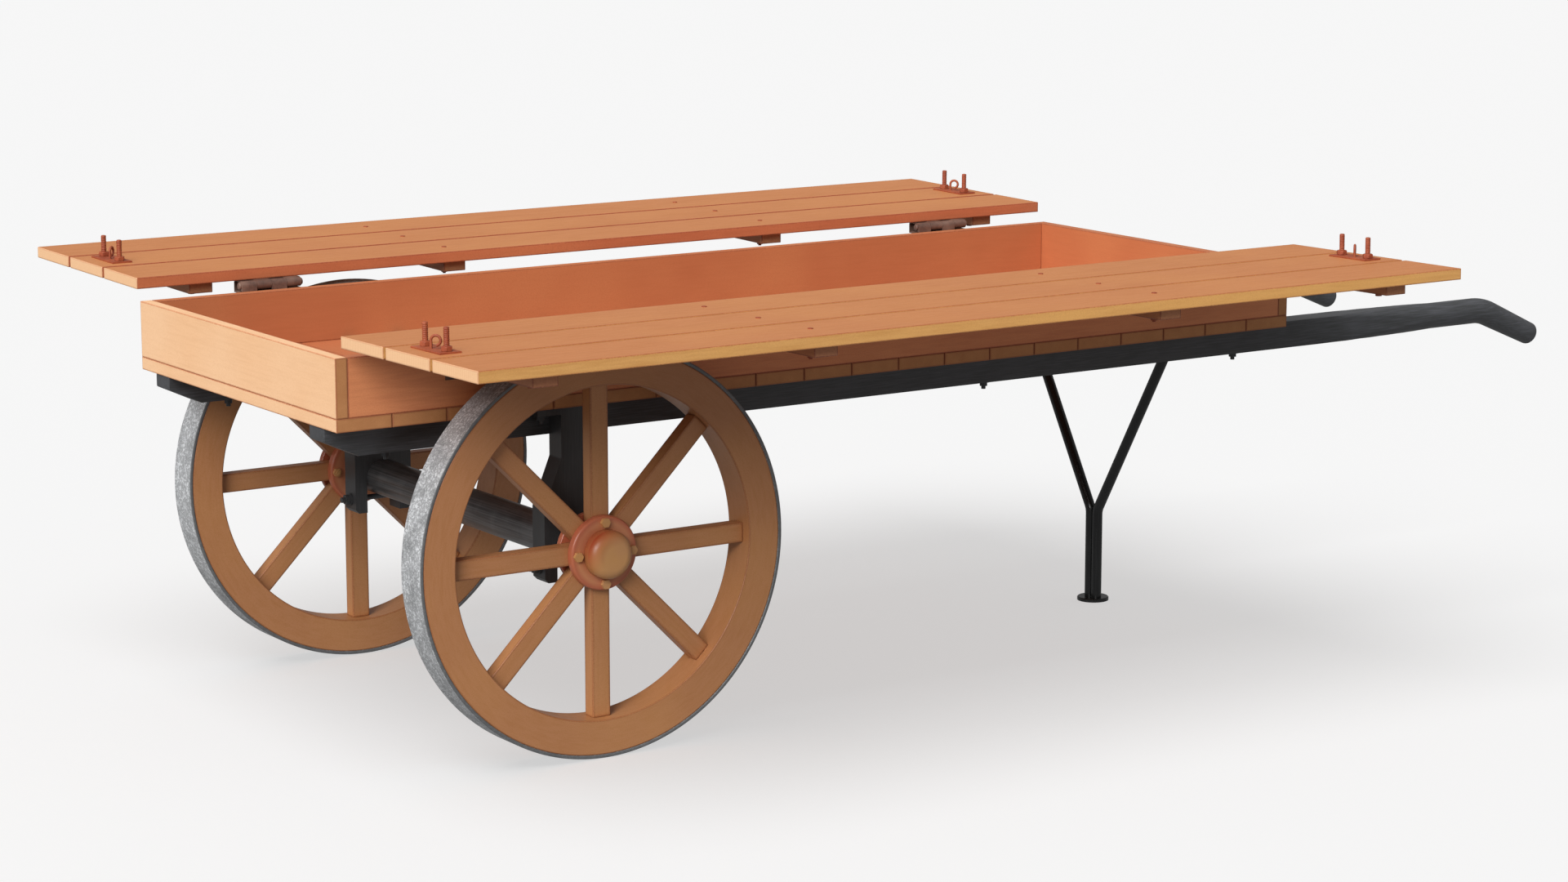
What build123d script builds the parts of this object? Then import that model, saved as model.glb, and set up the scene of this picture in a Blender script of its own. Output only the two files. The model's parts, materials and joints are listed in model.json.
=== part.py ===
from build123d import *
import os
from math import atan2, cos, radians, sin, sqrt, tan

# Two-wheeled flat barrow of wood and iron, in millimetres. +X runs towards the shafts' grips, +Y is the
# right-hand side of someone who stands between the shafts, +Z is up. The ground is z = 0, the centre
# plane is y = 0 and x = 0 is halfway along the whole barrow.

# tray
tray_length = 2000.0
tray_width = 752.0
floor_thick = 22.5
floor_count = 20
board_gap = 1.2          # joint between two neighbouring boards
wall_thick = 21.5
wall_height = 98.7
edge_break = 1.0         # worn edge on every board

# wheels
wheel_radius = 347.5
wheel_width = 66.0
wheel_x = 443.7          # wheel axis, from the tray's front end
tyre_thick = 6.0
felloe_depth = 59.0
spoke_count = 8
spoke_width = 34.0
spoke_thick = 26.0
spoke_seat = 0.1         # how far a spoke's foot stops short of the felloe's curve
flange_radius = 63.0
flange_thick = 14.0
barrel_radius = 28.0
hub_bolt_circle = 52.0
hub_bolt_radius = 4.0
hub_bolt_gap = 0.3       # round each hub bolt
hub_nut_radius = 8.0
hub_head_radius = 8.5
hub_head_thick = 6.5
hub_bolt_tail = 2.5
flange_edge_round = 3.5
root_relief = 1.0        # from the point where neighbouring spokes meet to their roots
root_gap = 0.2
cap_radius = 41.0
cap_depth = 31.0
cap_wall = 3.5
cap_round = 11.0
cap_inner_slope = 6.0    # depth of the hollow's slanted end

# axle
axle_radius = 33.0
axle_shoulder_radius = 26.0
spindle_radius = 18.0
thread_radius = 12.0
running_gap = 0.06       # radial clearance of everything that turns
axial_play = 0.4
shoulder_length = 38.5   # from the fork's outer face to the end of the axle's shoulder
washer_radius = 24.0
washer_thick = 3.0
nut_thick = 14.0
nut_across = 36.0
thread_gap = 0.1
thread_overrun = 3.0     # thread beyond the wheel nut
axle_overhang = 2.0      # thick part of the axle, beyond each fork

# shafts: square under the tray, worked round behind it, bent down at the grips
shaft_size = 52.0
shaft_inset = 52.3       # from the tray's side to a shaft's outer face
shaft_front_inset = 2.7
shaft_chamfer_rise = 29.0
shaft_chamfer_run = 65.0
round_start = 110.0      # from the tray's rear end to where the corners begin to go
round_length = 330.0
grip_radius = 25.0
bend_start = 556.0       # from the tray's rear end
bend_radius = 110.0
bend_angle = 23.5
grip_length = 130.0
grip_end_radius = 22.0
grip_rounding = 7.0
shaft_edge_break = 1.5

# axle forks, on the outer faces of the shafts
fork_thick = 40.0
fork_stem = 46.0
fork_foot = 114.0
fork_flange_length = 136.0
fork_flange_thick = 13.0
fork_neck_drop = 87.0    # straight stem below the floor
fork_shoulder_rise = 64.0  # where the legs start, above the axle's centre
fork_toe_drop = 63.5     # how far the legs reach below the axle's centre
fork_fit = 0.05          # radial gap between axle and fork
fork_toe_bevel = 7.0
fork_edge_break = 1.2
tie_radius = 5.0
tie_drop = 1.0           # between the axle's underside and the tie bolt
tie_washer_radius = 11.0
tie_washer_thick = 3.0
tie_nut_radius = 9.5
tie_nut_thick = 9.0
tie_tail = 7.0           # thread beyond each nut
flange_bolt_offset = 50.0

# bolts that hold the floor to the shafts and the forks
bolt_radius = 4.0
bolt_hole_gap = 0.2
bolt_tail = 5.5          # thread below the nut
bolt_nut_radius = 7.5
bolt_nut_thick = 7.0
bolt_washer_thick = 2.5
shaft_washer_radius = 12.0
fork_washer_radius = 10.5
bolt_head_radius = 10.0
bolt_head_thick = 2.5

# prop leg
leg_rod_radius = 10.0
leg_rod_gap = 0.6        # between the two upright rods
leg_x = 1843.5           # from the tray's front end
leg_fork_height = 182.0
leg_top_inset = 30.28    # from a shaft's inner face to a rod's centre, at the cross bar
leg_bend_radius = 24.0
foot_radius = 31.0
foot_thick = 7.0
cross_bar_width = 44.0
cross_bar_thick = 8.0

# leaves and their hinges
leaf_inset = 2.0         # at each end of the tray
leaf_width = 446.7
leaf_planks = 3
leaf_gap = 9.0           # open joint between two planks
leaf_thick = 20.0
leaf_tilt = 0.75         # the outer edge stands this many degrees high
wheel_gap = 25.3         # wheel's top to the leaf's underside
hinge_out = 8.8          # hinge axis, outside the tray's wall
hinge_up = 9.3           # hinge axis, above the wall's top
knuckle_radius = 8.4
pin_radius = 4.0
pin_overhang = 4.0
pin_head_lip = 2.2       # how far a pin's head stands out round the pin
pin_head_round = 2.0
knuckle_count = 4
knuckle_length = 28.9
knuckle_gap = 0.6
hinge_inset = 256.0      # centre of a hinge, from the tray's end
plate_thick = 3.0
plate_start = 10.0       # where both plates begin, from the hinge axis
knuckle_web = 12.0       # how far a knuckle's own strip runs on into its plate
frame_plate_drop = 62.0
leaf_plate_reach = 68.0
stop_reach = 26.0
stop_drop = 9.95         # top of the stop's arm, below the hinge axis
stop_thick = 3.5
stop_gap = 0.2           # between the stop and the leaf's plate at the hinge axis
screw_radius = 4.5
screw_head = 1.6
screw_pitch = 42.0
frame_screw_drop = 40.0
leaf_screw_reach = 45.0
leaf_edge_out = 8.5      # leaf's inner edge, outside the hinge axis
leaf_under = 9.0         # leaf's underside, above the hinge axis

batten_width = 45.0
batten_thick = 20.0
batten_start = 26.5      # from the hinge axis
batten_length = 402.0
batten_end_inset = 133.0
batten_mid_offset = 353.0
batten_bolt_radius = 3.0
batten_bolt_gap = 0.3
batten_bolt_shift = 12.0   # first bolt of a row, from its plank's middle towards the hinge
batten_washer_radius = 7.5
batten_washer_thick = 1.5
batten_nut_radius = 6.0
batten_nut_thick = 5.0
batten_bolt_tail = 2.5
batten_head_radius = 4.6
batten_head_thick = 1.3
screw_cover = 4.0        # wood left above the end battens' screws

stud_plate_inset = 52.5
stud_plate_length = 96.0
stud_plate_width = 38.0
stud_spacing = 69.0
stud_radius = 4.7
stud_shank_radius = 5.5
stud_height = 38.0       # above the plate
stud_nut_thick = 8.0
stud_nut_radius = 9.2
stud_head_radius = 9.0
stud_head_thick = 6.5
stud_hole_gap = 0.2
ring_wire = 2.3
ring_radius = 7.8
ring_height = 12.6
ring_sweep = 262.0       # how far the wire turns

# derived places
axle_z = wheel_radius
wall_top = 2 * wheel_radius + wheel_gap - leaf_under - hinge_up
floor_top = wall_top - wall_height
floor_z = floor_top - floor_thick
shaft_z = floor_z - shaft_size / 2
shaft_y = tray_width / 2 - shaft_inset - shaft_size / 2
fork_inner_y = shaft_y + shaft_size / 2
fork_outer_y = fork_inner_y + fork_thick
shoulder_y = fork_outer_y + shoulder_length
wheel_y = shoulder_y + axial_play + wheel_width / 2
felloe_inner = wheel_radius - tyre_thick - felloe_depth
hinge_y = tray_width / 2 + hinge_out
hinge_z = wall_top + hinge_up
leaf_length = tray_length - 2 * leaf_inset
board_pitch = tray_length / floor_count
grip_turn = radians(bend_angle)
shaft_reach = (
    tray_length + bend_start + bend_radius * sin(grip_turn)
    + (grip_length - grip_rounding) * cos(grip_turn)
    + (grip_end_radius - grip_rounding) * sin(grip_turn) + grip_rounding
)
front_x = -shaft_reach / 2
axle_x = front_x + wheel_x

os.makedirs("parts", exist_ok=True)


def save(piece, name):
    piece.part.label = name
    export_step(piece.part, f"parts/{name}.step")


def side_plane(y):
    """Upright plane across the barrow: its x is the distance from the tray's front end, its y is height."""
    return Plane(origin=(front_x, y, 0), x_dir=(1, 0, 0), z_dir=(0, -1, 0))


def flat_plane(z):
    """Level plane: its x is the distance from the tray's front end, its y is the barrow's y."""
    return Plane(origin=(front_x, 0, z), x_dir=(1, 0, 0), z_dir=(0, 0, 1))


def wheel_plane(side, out=0.0):
    """Plane square to the axle at a wheel's middle, or further out: x as the barrow, y up."""
    return Plane(origin=(axle_x, side * (wheel_y + out), axle_z), x_dir=(side, 0, 0), z_dir=(0, side, 0))


def leaf_plane(side):
    """Plane through a leaf's hinge axis, tilted with the leaf: its y points outwards on the right side."""
    lean = radians(leaf_tilt)
    return Plane(origin=(front_x, side * hinge_y, hinge_z), x_dir=(1, 0, 0),
                 z_dir=(0, -side * sin(lean), cos(lean)))


def hinge_section(side, x):
    """Section plane across a hinge at a distance from the tray's front end: x outwards, y up."""
    return Plane(origin=(front_x + x, side * hinge_y, hinge_z), x_dir=(0, side, 0), z_dir=(side, 0, 0))


def leaf_section(side, x):
    """The same, leaning with the leaf."""
    lean = radians(leaf_tilt)
    return Plane(origin=(front_x + x, side * hinge_y, hinge_z),
                 x_dir=(0, side * cos(lean), sin(lean)), z_dir=(side, 0, 0))


def stack(plane, spots, steps, mode=Mode.ADD):
    """Fasteners along a plane's normal: each step is a shape, its radius, and its start and end."""
    for shape, radius, start, end in steps:
        with BuildSketch(plane.offset(start)) as outline:
            with Locations(*spots):
                if shape == "hex":
                    RegularPolygon(radius, 6)
                else:
                    Circle(radius)
        extrude(outline.sketch, amount=end - start, mode=mode)


def board(plane, x0, x1, y0, y1, thick, worn=edge_break):
    """A board on a plane, with its long edges broken."""
    with BuildSketch(plane) as outline:
        with Locations(((x0 + x1) / 2, (y0 + y1) / 2)):
            Rectangle(x1 - x0, y1 - y0)
    plank = extrude(outline.sketch, amount=thick)
    chamfer(plank.edges(), worn)


def round_edges(piece, low, high):
    """Circular edges whose radius lies between two values."""
    return piece.edges().filter_by(GeomType.CIRCLE).filter_by(lambda e: low < e.radius < high)


def floor_bolts(spots, clamped, washer_radius):
    """Bolts from the floor's top down through a clamped thickness, with washer, nut and thread below it."""
    nut_top = -bolt_washer_thick
    nut_end = nut_top - bolt_nut_thick
    stack(flat_plane(floor_top - clamped), spots, [
        ("round", bolt_radius, nut_end - bolt_tail, clamped),
        ("round", washer_radius, nut_top, 0),
        ("hex", bolt_nut_radius, nut_end, nut_top),
        ("round", bolt_head_radius, clamped, clamped + bolt_head_thick),
    ])


sides = (("left", -1), ("right", 1))

# bolts through floor and shafts: board number and place along that board
shaft_bolts = [(1, 0.27), (7, 0.36), (13, 0.45), (19, 0.35)]
shaft_bolt_spots = [
    ((n + part) * board_pitch, side * shaft_y) for _, side in sides for n, part in shaft_bolts
]
fork_bolt_y = (fork_inner_y + fork_outer_y) / 2
fork_bolt_spots = [
    (wheel_x + end * flange_bolt_offset, side * fork_bolt_y) for _, side in sides for end in (-1, 1)
]
bolt_hole = bolt_radius + bolt_hole_gap

# ---------------------------------------------------------------- tray
with BuildPart() as floor_boards:
    for n in range(floor_count):
        board(flat_plane(floor_z), n * board_pitch + (board_gap / 2 if n else 0),
              (n + 1) * board_pitch - (board_gap / 2 if n < floor_count - 1 else 0),
              -tray_width / 2, tray_width / 2, floor_thick, 0.6)
    stack(flat_plane(floor_z - 1), shaft_bolt_spots + fork_bolt_spots,
          [("round", bolt_hole, 0, floor_thick + 2)], Mode.SUBTRACT)
save(floor_boards, "floor_boards")

for end, x in (("front", 0), ("rear", tray_length - wall_thick)):
    with BuildPart() as end_board:
        board(flat_plane(floor_top), x, x + wall_thick, -tray_width / 2, tray_width / 2, wall_height)
    save(end_board, f"end_board_{end}")

for name, side in sides:
    with BuildPart() as side_board:
        inner = side * (tray_width / 2 - wall_thick)
        outer = side * tray_width / 2
        board(flat_plane(floor_top), wall_thick, tray_length - wall_thick,
              min(inner, outer), max(inner, outer), wall_height)
    save(side_board, f"side_board_{name}")

# ---------------------------------------------------------------- shafts
for name, side in sides:
    with BuildPart() as shaft:
        round_end = tray_length + round_start + round_length
        with BuildSketch(side_plane(side * shaft_y)) as bar_side:
            with BuildLine():
                Polyline(
                    (shaft_front_inset, floor_z),
                    (shaft_front_inset, floor_z - shaft_size + shaft_chamfer_rise),
                    (shaft_chamfer_run, floor_z - shaft_size),
                    (round_end, floor_z - shaft_size),
                    (round_end, floor_z),
                    close=True,
                )
            make_face()
        extrude(amount=shaft_size / 2, both=True)
        chamfer(shaft.edges().filter_by(Axis.X), shaft_edge_break)
        # the corners are worked away behind the tray until the bar is round
        with BuildSketch(side_plane(side * shaft_y)) as envelope:
            with BuildLine():
                corner = 0.72 * shaft_size  # just outside the bar's corners
                Polyline(
                    (shaft_front_inset - 1, shaft_z),
                    (shaft_front_inset - 1, shaft_z + corner),
                    (tray_length + round_start, shaft_z + corner),
                    (round_end, shaft_z + grip_radius),
                    (round_end, shaft_z),
                    close=True,
                )
            make_face()
        revolve(axis=Axis((front_x, side * shaft_y, shaft_z), (1, 0, 0)), mode=Mode.INTERSECT)
        # round neck, bend and grip
        with BuildLine(side_plane(side * shaft_y)) as neck:
            run = Line((round_end, shaft_z), (tray_length + bend_start, shaft_z))
            JernArc(start=run @ 1, tangent=run % 1, radius=bend_radius, arc_size=-bend_angle)
        with BuildSketch(Plane(origin=neck.line @ 0, x_dir=(0, 1, 0), z_dir=neck.line % 0)):
            Circle(grip_radius)
        sweep(path=neck.line)
        with BuildSketch(Plane(origin=neck.line @ 1, x_dir=(0, 1, 0), z_dir=neck.line % 1)) as grip_root:
            Circle(grip_radius)
        with BuildSketch(Plane(origin=(neck.line @ 1) + (neck.line % 1) * grip_length,
                               x_dir=(0, 1, 0), z_dir=neck.line % 1)) as grip_tip:
            Circle(grip_end_radius)
        loft(sections=[grip_root.sketch, grip_tip.sketch])
        fillet(shaft.faces().sort_by(Axis.X)[-1].edges(), grip_rounding)
        stack(flat_plane(floor_z - shaft_size - 1), [s for s in shaft_bolt_spots if s[1] * side > 0],
              [("round", bolt_hole, 0, shaft_size + 2)], Mode.SUBTRACT)
    save(shaft, f"shaft_{name}")

with BuildPart() as shaft_bolt_set:
    floor_bolts(shaft_bolt_spots, floor_thick + shaft_size, shaft_washer_radius)
save(shaft_bolt_set, "shaft_bolts")

# ---------------------------------------------------------------- axle and forks
tie_z = axle_z - axle_radius - tie_drop - tie_radius


def tie_plane(side):
    """Plane across a fork's front face, centred on its tie bolt."""
    return Plane(origin=(axle_x - fork_foot / 2, side * fork_bolt_y, tie_z), x_dir=(0, 1, 0), z_dir=(1, 0, 0))


for name, side in sides:
    with BuildPart() as fork:
        with BuildSketch(side_plane(side * fork_bolt_y)) as fork_side:
            with BuildLine():
                half_stem, half_foot, half_flange = fork_stem / 2, fork_foot / 2, fork_flange_length / 2
                toe = axle_z - fork_toe_drop
                right = [
                    (half_flange, floor_z), (half_flange, floor_z - fork_flange_thick),
                    (half_stem, floor_z - fork_flange_thick), (half_stem, floor_z - fork_neck_drop),
                    (half_foot, axle_z + fork_shoulder_rise), (half_foot, toe + fork_toe_bevel),
                    (half_foot - fork_toe_bevel, toe), (axle_radius + fork_fit, toe),
                ]
                left = [(-x, z) for x, z in reversed(right)]
                edge = [(wheel_x + x, z) for x, z in right]
                back = [(wheel_x + x, z) for x, z in left]
                Polyline(*edge, (wheel_x + axle_radius + fork_fit, axle_z))
                CenterArc((wheel_x, axle_z), axle_radius + fork_fit, 0, 180)
                Polyline((wheel_x - axle_radius - fork_fit, axle_z), *back, edge[0])
            make_face()
        extrude(amount=fork_thick / 2, both=True)
        neck = fork.edges().filter_by(Axis.Y).filter_by_position(
            Axis.Z, axle_z + fork_shoulder_rise - 1, floor_z - fork_flange_thick - 1)
        chamfer(neck, fork_edge_break)
        stack(flat_plane(floor_z - fork_flange_thick - 1), [s for s in fork_bolt_spots if s[1] * side > 0],
              [("round", bolt_hole, 0, fork_flange_thick + 2)], Mode.SUBTRACT)
        stack(tie_plane(side), [(0, 0)],
              [("round", tie_radius + thread_gap, -1, fork_foot + 1)], Mode.SUBTRACT)
    save(fork, f"axle_fork_{name}")

with BuildPart() as fork_bolt_set:
    floor_bolts(fork_bolt_spots, floor_thick + fork_flange_thick, fork_washer_radius)
save(fork_bolt_set, "fork_bolts")

with BuildPart() as tie_bolt_set:
    nut_face = tie_washer_thick + tie_nut_thick
    for name, side in sides:
        stack(tie_plane(side), [(0, 0)], [
            ("round", tie_radius, -nut_face - tie_tail, fork_foot + nut_face + tie_tail),
            ("round", tie_washer_radius, -tie_washer_thick, 0),
            ("hex", tie_nut_radius, -nut_face, -tie_washer_thick),
            ("round", tie_washer_radius, fork_foot, fork_foot + tie_washer_thick),
            ("hex", tie_nut_radius, fork_foot + tie_washer_thick, fork_foot + nut_face),
        ])
save(tie_bolt_set, "fork_tie_bolts")

spindle_end = wheel_y + wheel_width / 2 + axial_play
with BuildPart() as axle:
    with BuildSketch(Plane(origin=(axle_x, 0, axle_z), x_dir=(0, 1, 0), z_dir=(1, 0, 0))) as axle_half:
        with BuildLine():
            thread_end = spindle_end + washer_thick + nut_thick + thread_overrun
            thick_end = fork_outer_y + axle_overhang
            Polyline(
                (-thread_end, 0), (-thread_end, thread_radius), (-spindle_end, thread_radius),
                (-spindle_end, spindle_radius), (-shoulder_y, spindle_radius),
                (-shoulder_y, axle_shoulder_radius), (-thick_end, axle_shoulder_radius),
                (-thick_end, axle_radius), (thick_end, axle_radius),
                (thick_end, axle_shoulder_radius), (shoulder_y, axle_shoulder_radius),
                (shoulder_y, spindle_radius), (spindle_end, spindle_radius),
                (spindle_end, thread_radius), (thread_end, thread_radius), (thread_end, 0), close=True,
            )
        make_face()
    revolve(axis=Axis((axle_x, 0, axle_z), (0, 1, 0)))
    chamfer(round_edges(axle, axle_radius - 1, axle_radius + 1), 1.5)
save(axle, "axle")

thread_hole = thread_radius + thread_gap
washer_seat = wheel_width / 2 + axial_play
with BuildPart() as wheel_washers:
    for name, side in sides:
        seat = wheel_plane(side, washer_seat)
        stack(seat, [(0, 0)], [("round", washer_radius, 0, washer_thick)])
        stack(seat, [(0, 0)], [("round", thread_hole, 0, washer_thick)], Mode.SUBTRACT)
save(wheel_washers, "wheel_washers")

with BuildPart() as wheel_nuts:
    for name, side in sides:
        seat = wheel_plane(side, washer_seat + washer_thick)
        stack(seat, [(0, 0)], [("hex", nut_across / sqrt(3), 0, nut_thick)])
        stack(seat, [(0, 0)], [("round", thread_hole, 0, nut_thick)], Mode.SUBTRACT)
save(wheel_nuts, "wheel_nuts")

# ---------------------------------------------------------------- prop leg
bar_under = floor_z - cross_bar_thick
rod_y = leg_rod_radius + leg_rod_gap / 2
rod_top_y = shaft_y - shaft_size / 2 - leg_top_inset
spread = atan2(rod_top_y - rod_y, bar_under - leg_fork_height)
branch = (bar_under - leg_fork_height) / cos(spread)
past_bar = branch + 2 * leg_rod_radius
for name, side in sides:
    leg_plane = Plane(origin=(front_x + leg_x, 0, 0), x_dir=(0, side, 0), z_dir=(side, 0, 0))
    with BuildPart() as leg_rod:
        with BuildLine(leg_plane) as route:
            FilletPolyline(
                (rod_y, foot_thick), (rod_y, leg_fork_height),
                (rod_y + past_bar * sin(spread), leg_fork_height + past_bar * cos(spread)),
                radius=leg_bend_radius + leg_rod_radius,
            )
        with BuildSketch(Plane(origin=route.line @ 0, x_dir=(1, 0, 0), z_dir=(0, 0, 1))):
            Circle(leg_rod_radius)
        sweep(path=route.line)
        split(bisect_by=Plane.XY.offset(bar_under), keep=Keep.BOTTOM)
    save(leg_rod, f"leg_rod_{name}")

with BuildPart() as cross_bar:
    with BuildSketch(flat_plane(bar_under)):
        with Locations((leg_x, 0)):
            Rectangle(cross_bar_width, 2 * (shaft_y - shaft_size / 2))
    extrude(amount=cross_bar_thick)
    chamfer(cross_bar.edges().filter_by(Axis.Y), 1.0)
save(cross_bar, "leg_cross_bar")

with BuildPart() as foot_plate:
    with BuildSketch(flat_plane(0)):
        with Locations((leg_x, 0)):
            Circle(foot_radius)
    extrude(amount=foot_thick)
    chamfer(foot_plate.edges().group_by(Axis.Z)[-1], 1.5)
save(foot_plate, "leg_foot_plate")

# ---------------------------------------------------------------- wheels
gap_angle = 360 / spoke_count
spoke_root = spoke_width / 2 / tan(radians(gap_angle / 2)) + root_relief
core_half = spoke_thick / 2
hub_clamp = spoke_thick + 2 * flange_thick
bolt_angles = [radians(quarter) for quarter in (0, 90, 180, 270)]
hub_bolt_spots = [(hub_bolt_circle * cos(a), hub_bolt_circle * sin(a)) for a in bolt_angles]
hub_bolt_hole = hub_bolt_radius + hub_bolt_gap
for name, side in sides:
    with BuildPart() as tyre:
        with BuildSketch(wheel_plane(side)):
            Circle(wheel_radius)
            Circle(wheel_radius - tyre_thick, mode=Mode.SUBTRACT)
        extrude(amount=wheel_width / 2, both=True)
        chamfer(round_edges(tyre, wheel_radius - 1, wheel_radius + 1), 1.0)
    save(tyre, f"tyre_{name}")

    with BuildPart() as felloe:
        with BuildSketch(wheel_plane(side)):
            Circle(wheel_radius - tyre_thick)
            Circle(felloe_inner, mode=Mode.SUBTRACT)
        extrude(amount=wheel_width / 2 - 0.5, both=True)
        chamfer(round_edges(felloe, felloe_inner - 1, felloe_inner + 1), 2.0)
    save(felloe, f"felloe_{name}")

    with BuildPart() as spokes:
        with BuildSketch(wheel_plane(side)):
            with PolarLocations(0, spoke_count):
                with Locations(((spoke_root + felloe_inner) / 2, 0)):
                    Rectangle(felloe_inner - spoke_root, spoke_width)
        extrude(amount=core_half, both=True)
        chamfer(spokes.edges().filter_by(GeomType.LINE).filter_by(
            lambda e: e.length > (felloe_inner - spoke_root) * 0.9), 1.5)
        with BuildSketch(wheel_plane(side)):
            Circle(felloe_inner - spoke_seat)
        extrude(amount=core_half + 1, both=True, mode=Mode.INTERSECT)
        with BuildSketch(wheel_plane(side)):
            with Locations(*hub_bolt_spots):
                Circle(hub_bolt_hole)
        extrude(amount=core_half + 1, both=True, mode=Mode.SUBTRACT)
    save(spokes, f"spokes_{name}")

    with BuildPart() as barrel:
        with BuildSketch(wheel_plane(side)):
            Circle(barrel_radius)
            Circle(spindle_radius + running_gap, mode=Mode.SUBTRACT)
        extrude(amount=wheel_width / 2, both=True)
        with BuildSketch(wheel_plane(side)):
            Circle(spoke_root - root_gap)
            Circle(barrel_radius - 1, mode=Mode.SUBTRACT)
        extrude(amount=core_half, both=True)
    save(barrel, f"hub_barrel_{name}")

    for place, start, end in (("inner", -core_half - flange_thick, -core_half),
                              ("outer", core_half, core_half + flange_thick)):
        with BuildPart() as flange:
            with BuildSketch(wheel_plane(side, start)):
                Circle(flange_radius)
                Circle(barrel_radius + 0.05, mode=Mode.SUBTRACT)
                with Locations(*hub_bolt_spots):
                    Circle(hub_bolt_hole, mode=Mode.SUBTRACT)
            extrude(amount=flange_thick)
            rim = round_edges(flange, flange_radius - 1, flange_radius + 1)
            far = rim.sort_by(Axis.Y)[-1 if (start > 0) == (side > 0) else 0]
            fillet(far, flange_edge_round)
        save(flange, f"hub_flange_{place}_{name}")

    with BuildPart() as bolts:
        stack(wheel_plane(side, -hub_clamp / 2), hub_bolt_spots, [
            ("round", hub_bolt_radius, -hub_head_thick - hub_bolt_tail, hub_clamp),
            ("hex", hub_nut_radius, -hub_head_thick, 0),
            ("hex", hub_head_radius, hub_clamp, hub_clamp + hub_head_thick),
        ])
    save(bolts, f"hub_bolts_{name}")

    with BuildPart() as cap:
        seat = hub_clamp / 2
        hollow = cap_depth - cap_wall - cap_inner_slope
        with BuildSketch(wheel_plane(side, seat)):
            Circle(cap_radius)
        extrude(amount=cap_depth)
        top = cap.faces().sort_by(Axis.Y)[-1 if side > 0 else 0]
        fillet(top.edges(), cap_round)
        with BuildSketch(wheel_plane(side, seat)):
            Circle(cap_radius - cap_wall)
        extrude(amount=hollow, mode=Mode.SUBTRACT)
        with BuildSketch(wheel_plane(side, seat + hollow)):
            Circle(cap_radius - cap_wall - cap_inner_slope)
        extrude(amount=cap_inner_slope, taper=40, mode=Mode.SUBTRACT)
    save(cap, f"hub_cap_{name}")

# ---------------------------------------------------------------- hinges
hinge_spots = (hinge_inset, tray_length - hinge_inset)
hinge_length = knuckle_count * knuckle_length + (knuckle_count - 1) * knuckle_gap
screw_row = (-screw_pitch, 0, screw_pitch)
stop_top = leaf_under - plate_thick - stop_gap
stop_foot = -stop_drop - stop_thick
pin_head_radius = pin_radius + pin_head_lip


def knuckle_start(centre, number):
    return centre - hinge_length / 2 + number * (knuckle_length + knuckle_gap)


for name, side in sides:
    with BuildPart() as frame_plates:
        for centre in hinge_spots:
            for number in (0, 2):
                with BuildSketch(hinge_section(side, knuckle_start(centre, number))) as ring:
                    Circle(knuckle_radius)
                    with Locations((-hinge_out + plate_thick / 2, -knuckle_web / 2)):
                        Rectangle(plate_thick, knuckle_web)
                    with Locations((-hinge_out / 2, -knuckle_radius / 2)):
                        Rectangle(hinge_out, knuckle_radius)
                    Circle(pin_radius + running_gap, mode=Mode.SUBTRACT)
                extrude(ring.sketch, amount=side * knuckle_length)
            with BuildSketch(hinge_section(side, centre - hinge_length / 2)) as plate:
                with Locations((-hinge_out + plate_thick / 2, (-plate_start - frame_plate_drop) / 2)):
                    Rectangle(plate_thick, frame_plate_drop - plate_start)
                with Locations(((stop_reach - hinge_out) / 2, -stop_drop - stop_thick / 2)):
                    Rectangle(stop_reach + hinge_out, stop_thick)
                with Locations((stop_reach - stop_thick / 2, (stop_top + stop_foot) / 2)):
                    Rectangle(stop_thick, stop_top - stop_foot)
            extrude(plate.sketch, amount=side * hinge_length)
            wall_face = Plane(
                origin=(front_x, side * (tray_width / 2 + plate_thick), hinge_z - frame_screw_drop),
                x_dir=(1, 0, 0), z_dir=(0, side, 0))
            stack(wall_face, [(centre + dx, 0) for dx in screw_row], [("round", screw_radius, 0, screw_head)])
    save(frame_plates, f"hinge_frame_plates_{name}")

    with BuildPart() as leaf_plates:
        for centre in hinge_spots:
            for number in (1, 3):
                with BuildSketch(leaf_section(side, knuckle_start(centre, number))) as ring:
                    Circle(knuckle_radius)
                    with Locations((knuckle_web / 2, leaf_under - plate_thick / 2)):
                        Rectangle(knuckle_web, plate_thick)
                    with Locations((knuckle_radius / 2, (leaf_under - plate_thick) / 2)):
                        Rectangle(knuckle_radius, leaf_under - plate_thick)
                    Circle(pin_radius + running_gap, mode=Mode.SUBTRACT)
                extrude(ring.sketch, amount=side * knuckle_length)
            with BuildSketch(leaf_section(side, centre - hinge_length / 2)) as plate:
                with Locations(((plate_start + leaf_plate_reach) / 2, leaf_under - plate_thick / 2)):
                    Rectangle(leaf_plate_reach - plate_start, plate_thick)
            extrude(plate.sketch, amount=side * hinge_length)
    save(leaf_plates, f"hinge_leaf_plates_{name}")

    with BuildPart() as pins:
        for centre in hinge_spots:
            stack(Plane(origin=(front_x + centre - hinge_length / 2, side * hinge_y, hinge_z),
                        x_dir=(0, 1, 0), z_dir=(1, 0, 0)), [(0, 0)],
                  [("round", pin_radius, 0, hinge_length),
                   ("round", pin_head_radius, -pin_overhang, 0),
                   ("round", pin_head_radius, hinge_length, hinge_length + pin_overhang)])
        ends = round_edges(pins, pin_head_radius - 0.1, pin_head_radius + 0.1).sort_by(Axis.X)
        fillet([ends[0], ends[3], ends[4], ends[7]], pin_head_round)
    save(pins, f"hinge_pins_{name}")

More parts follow.
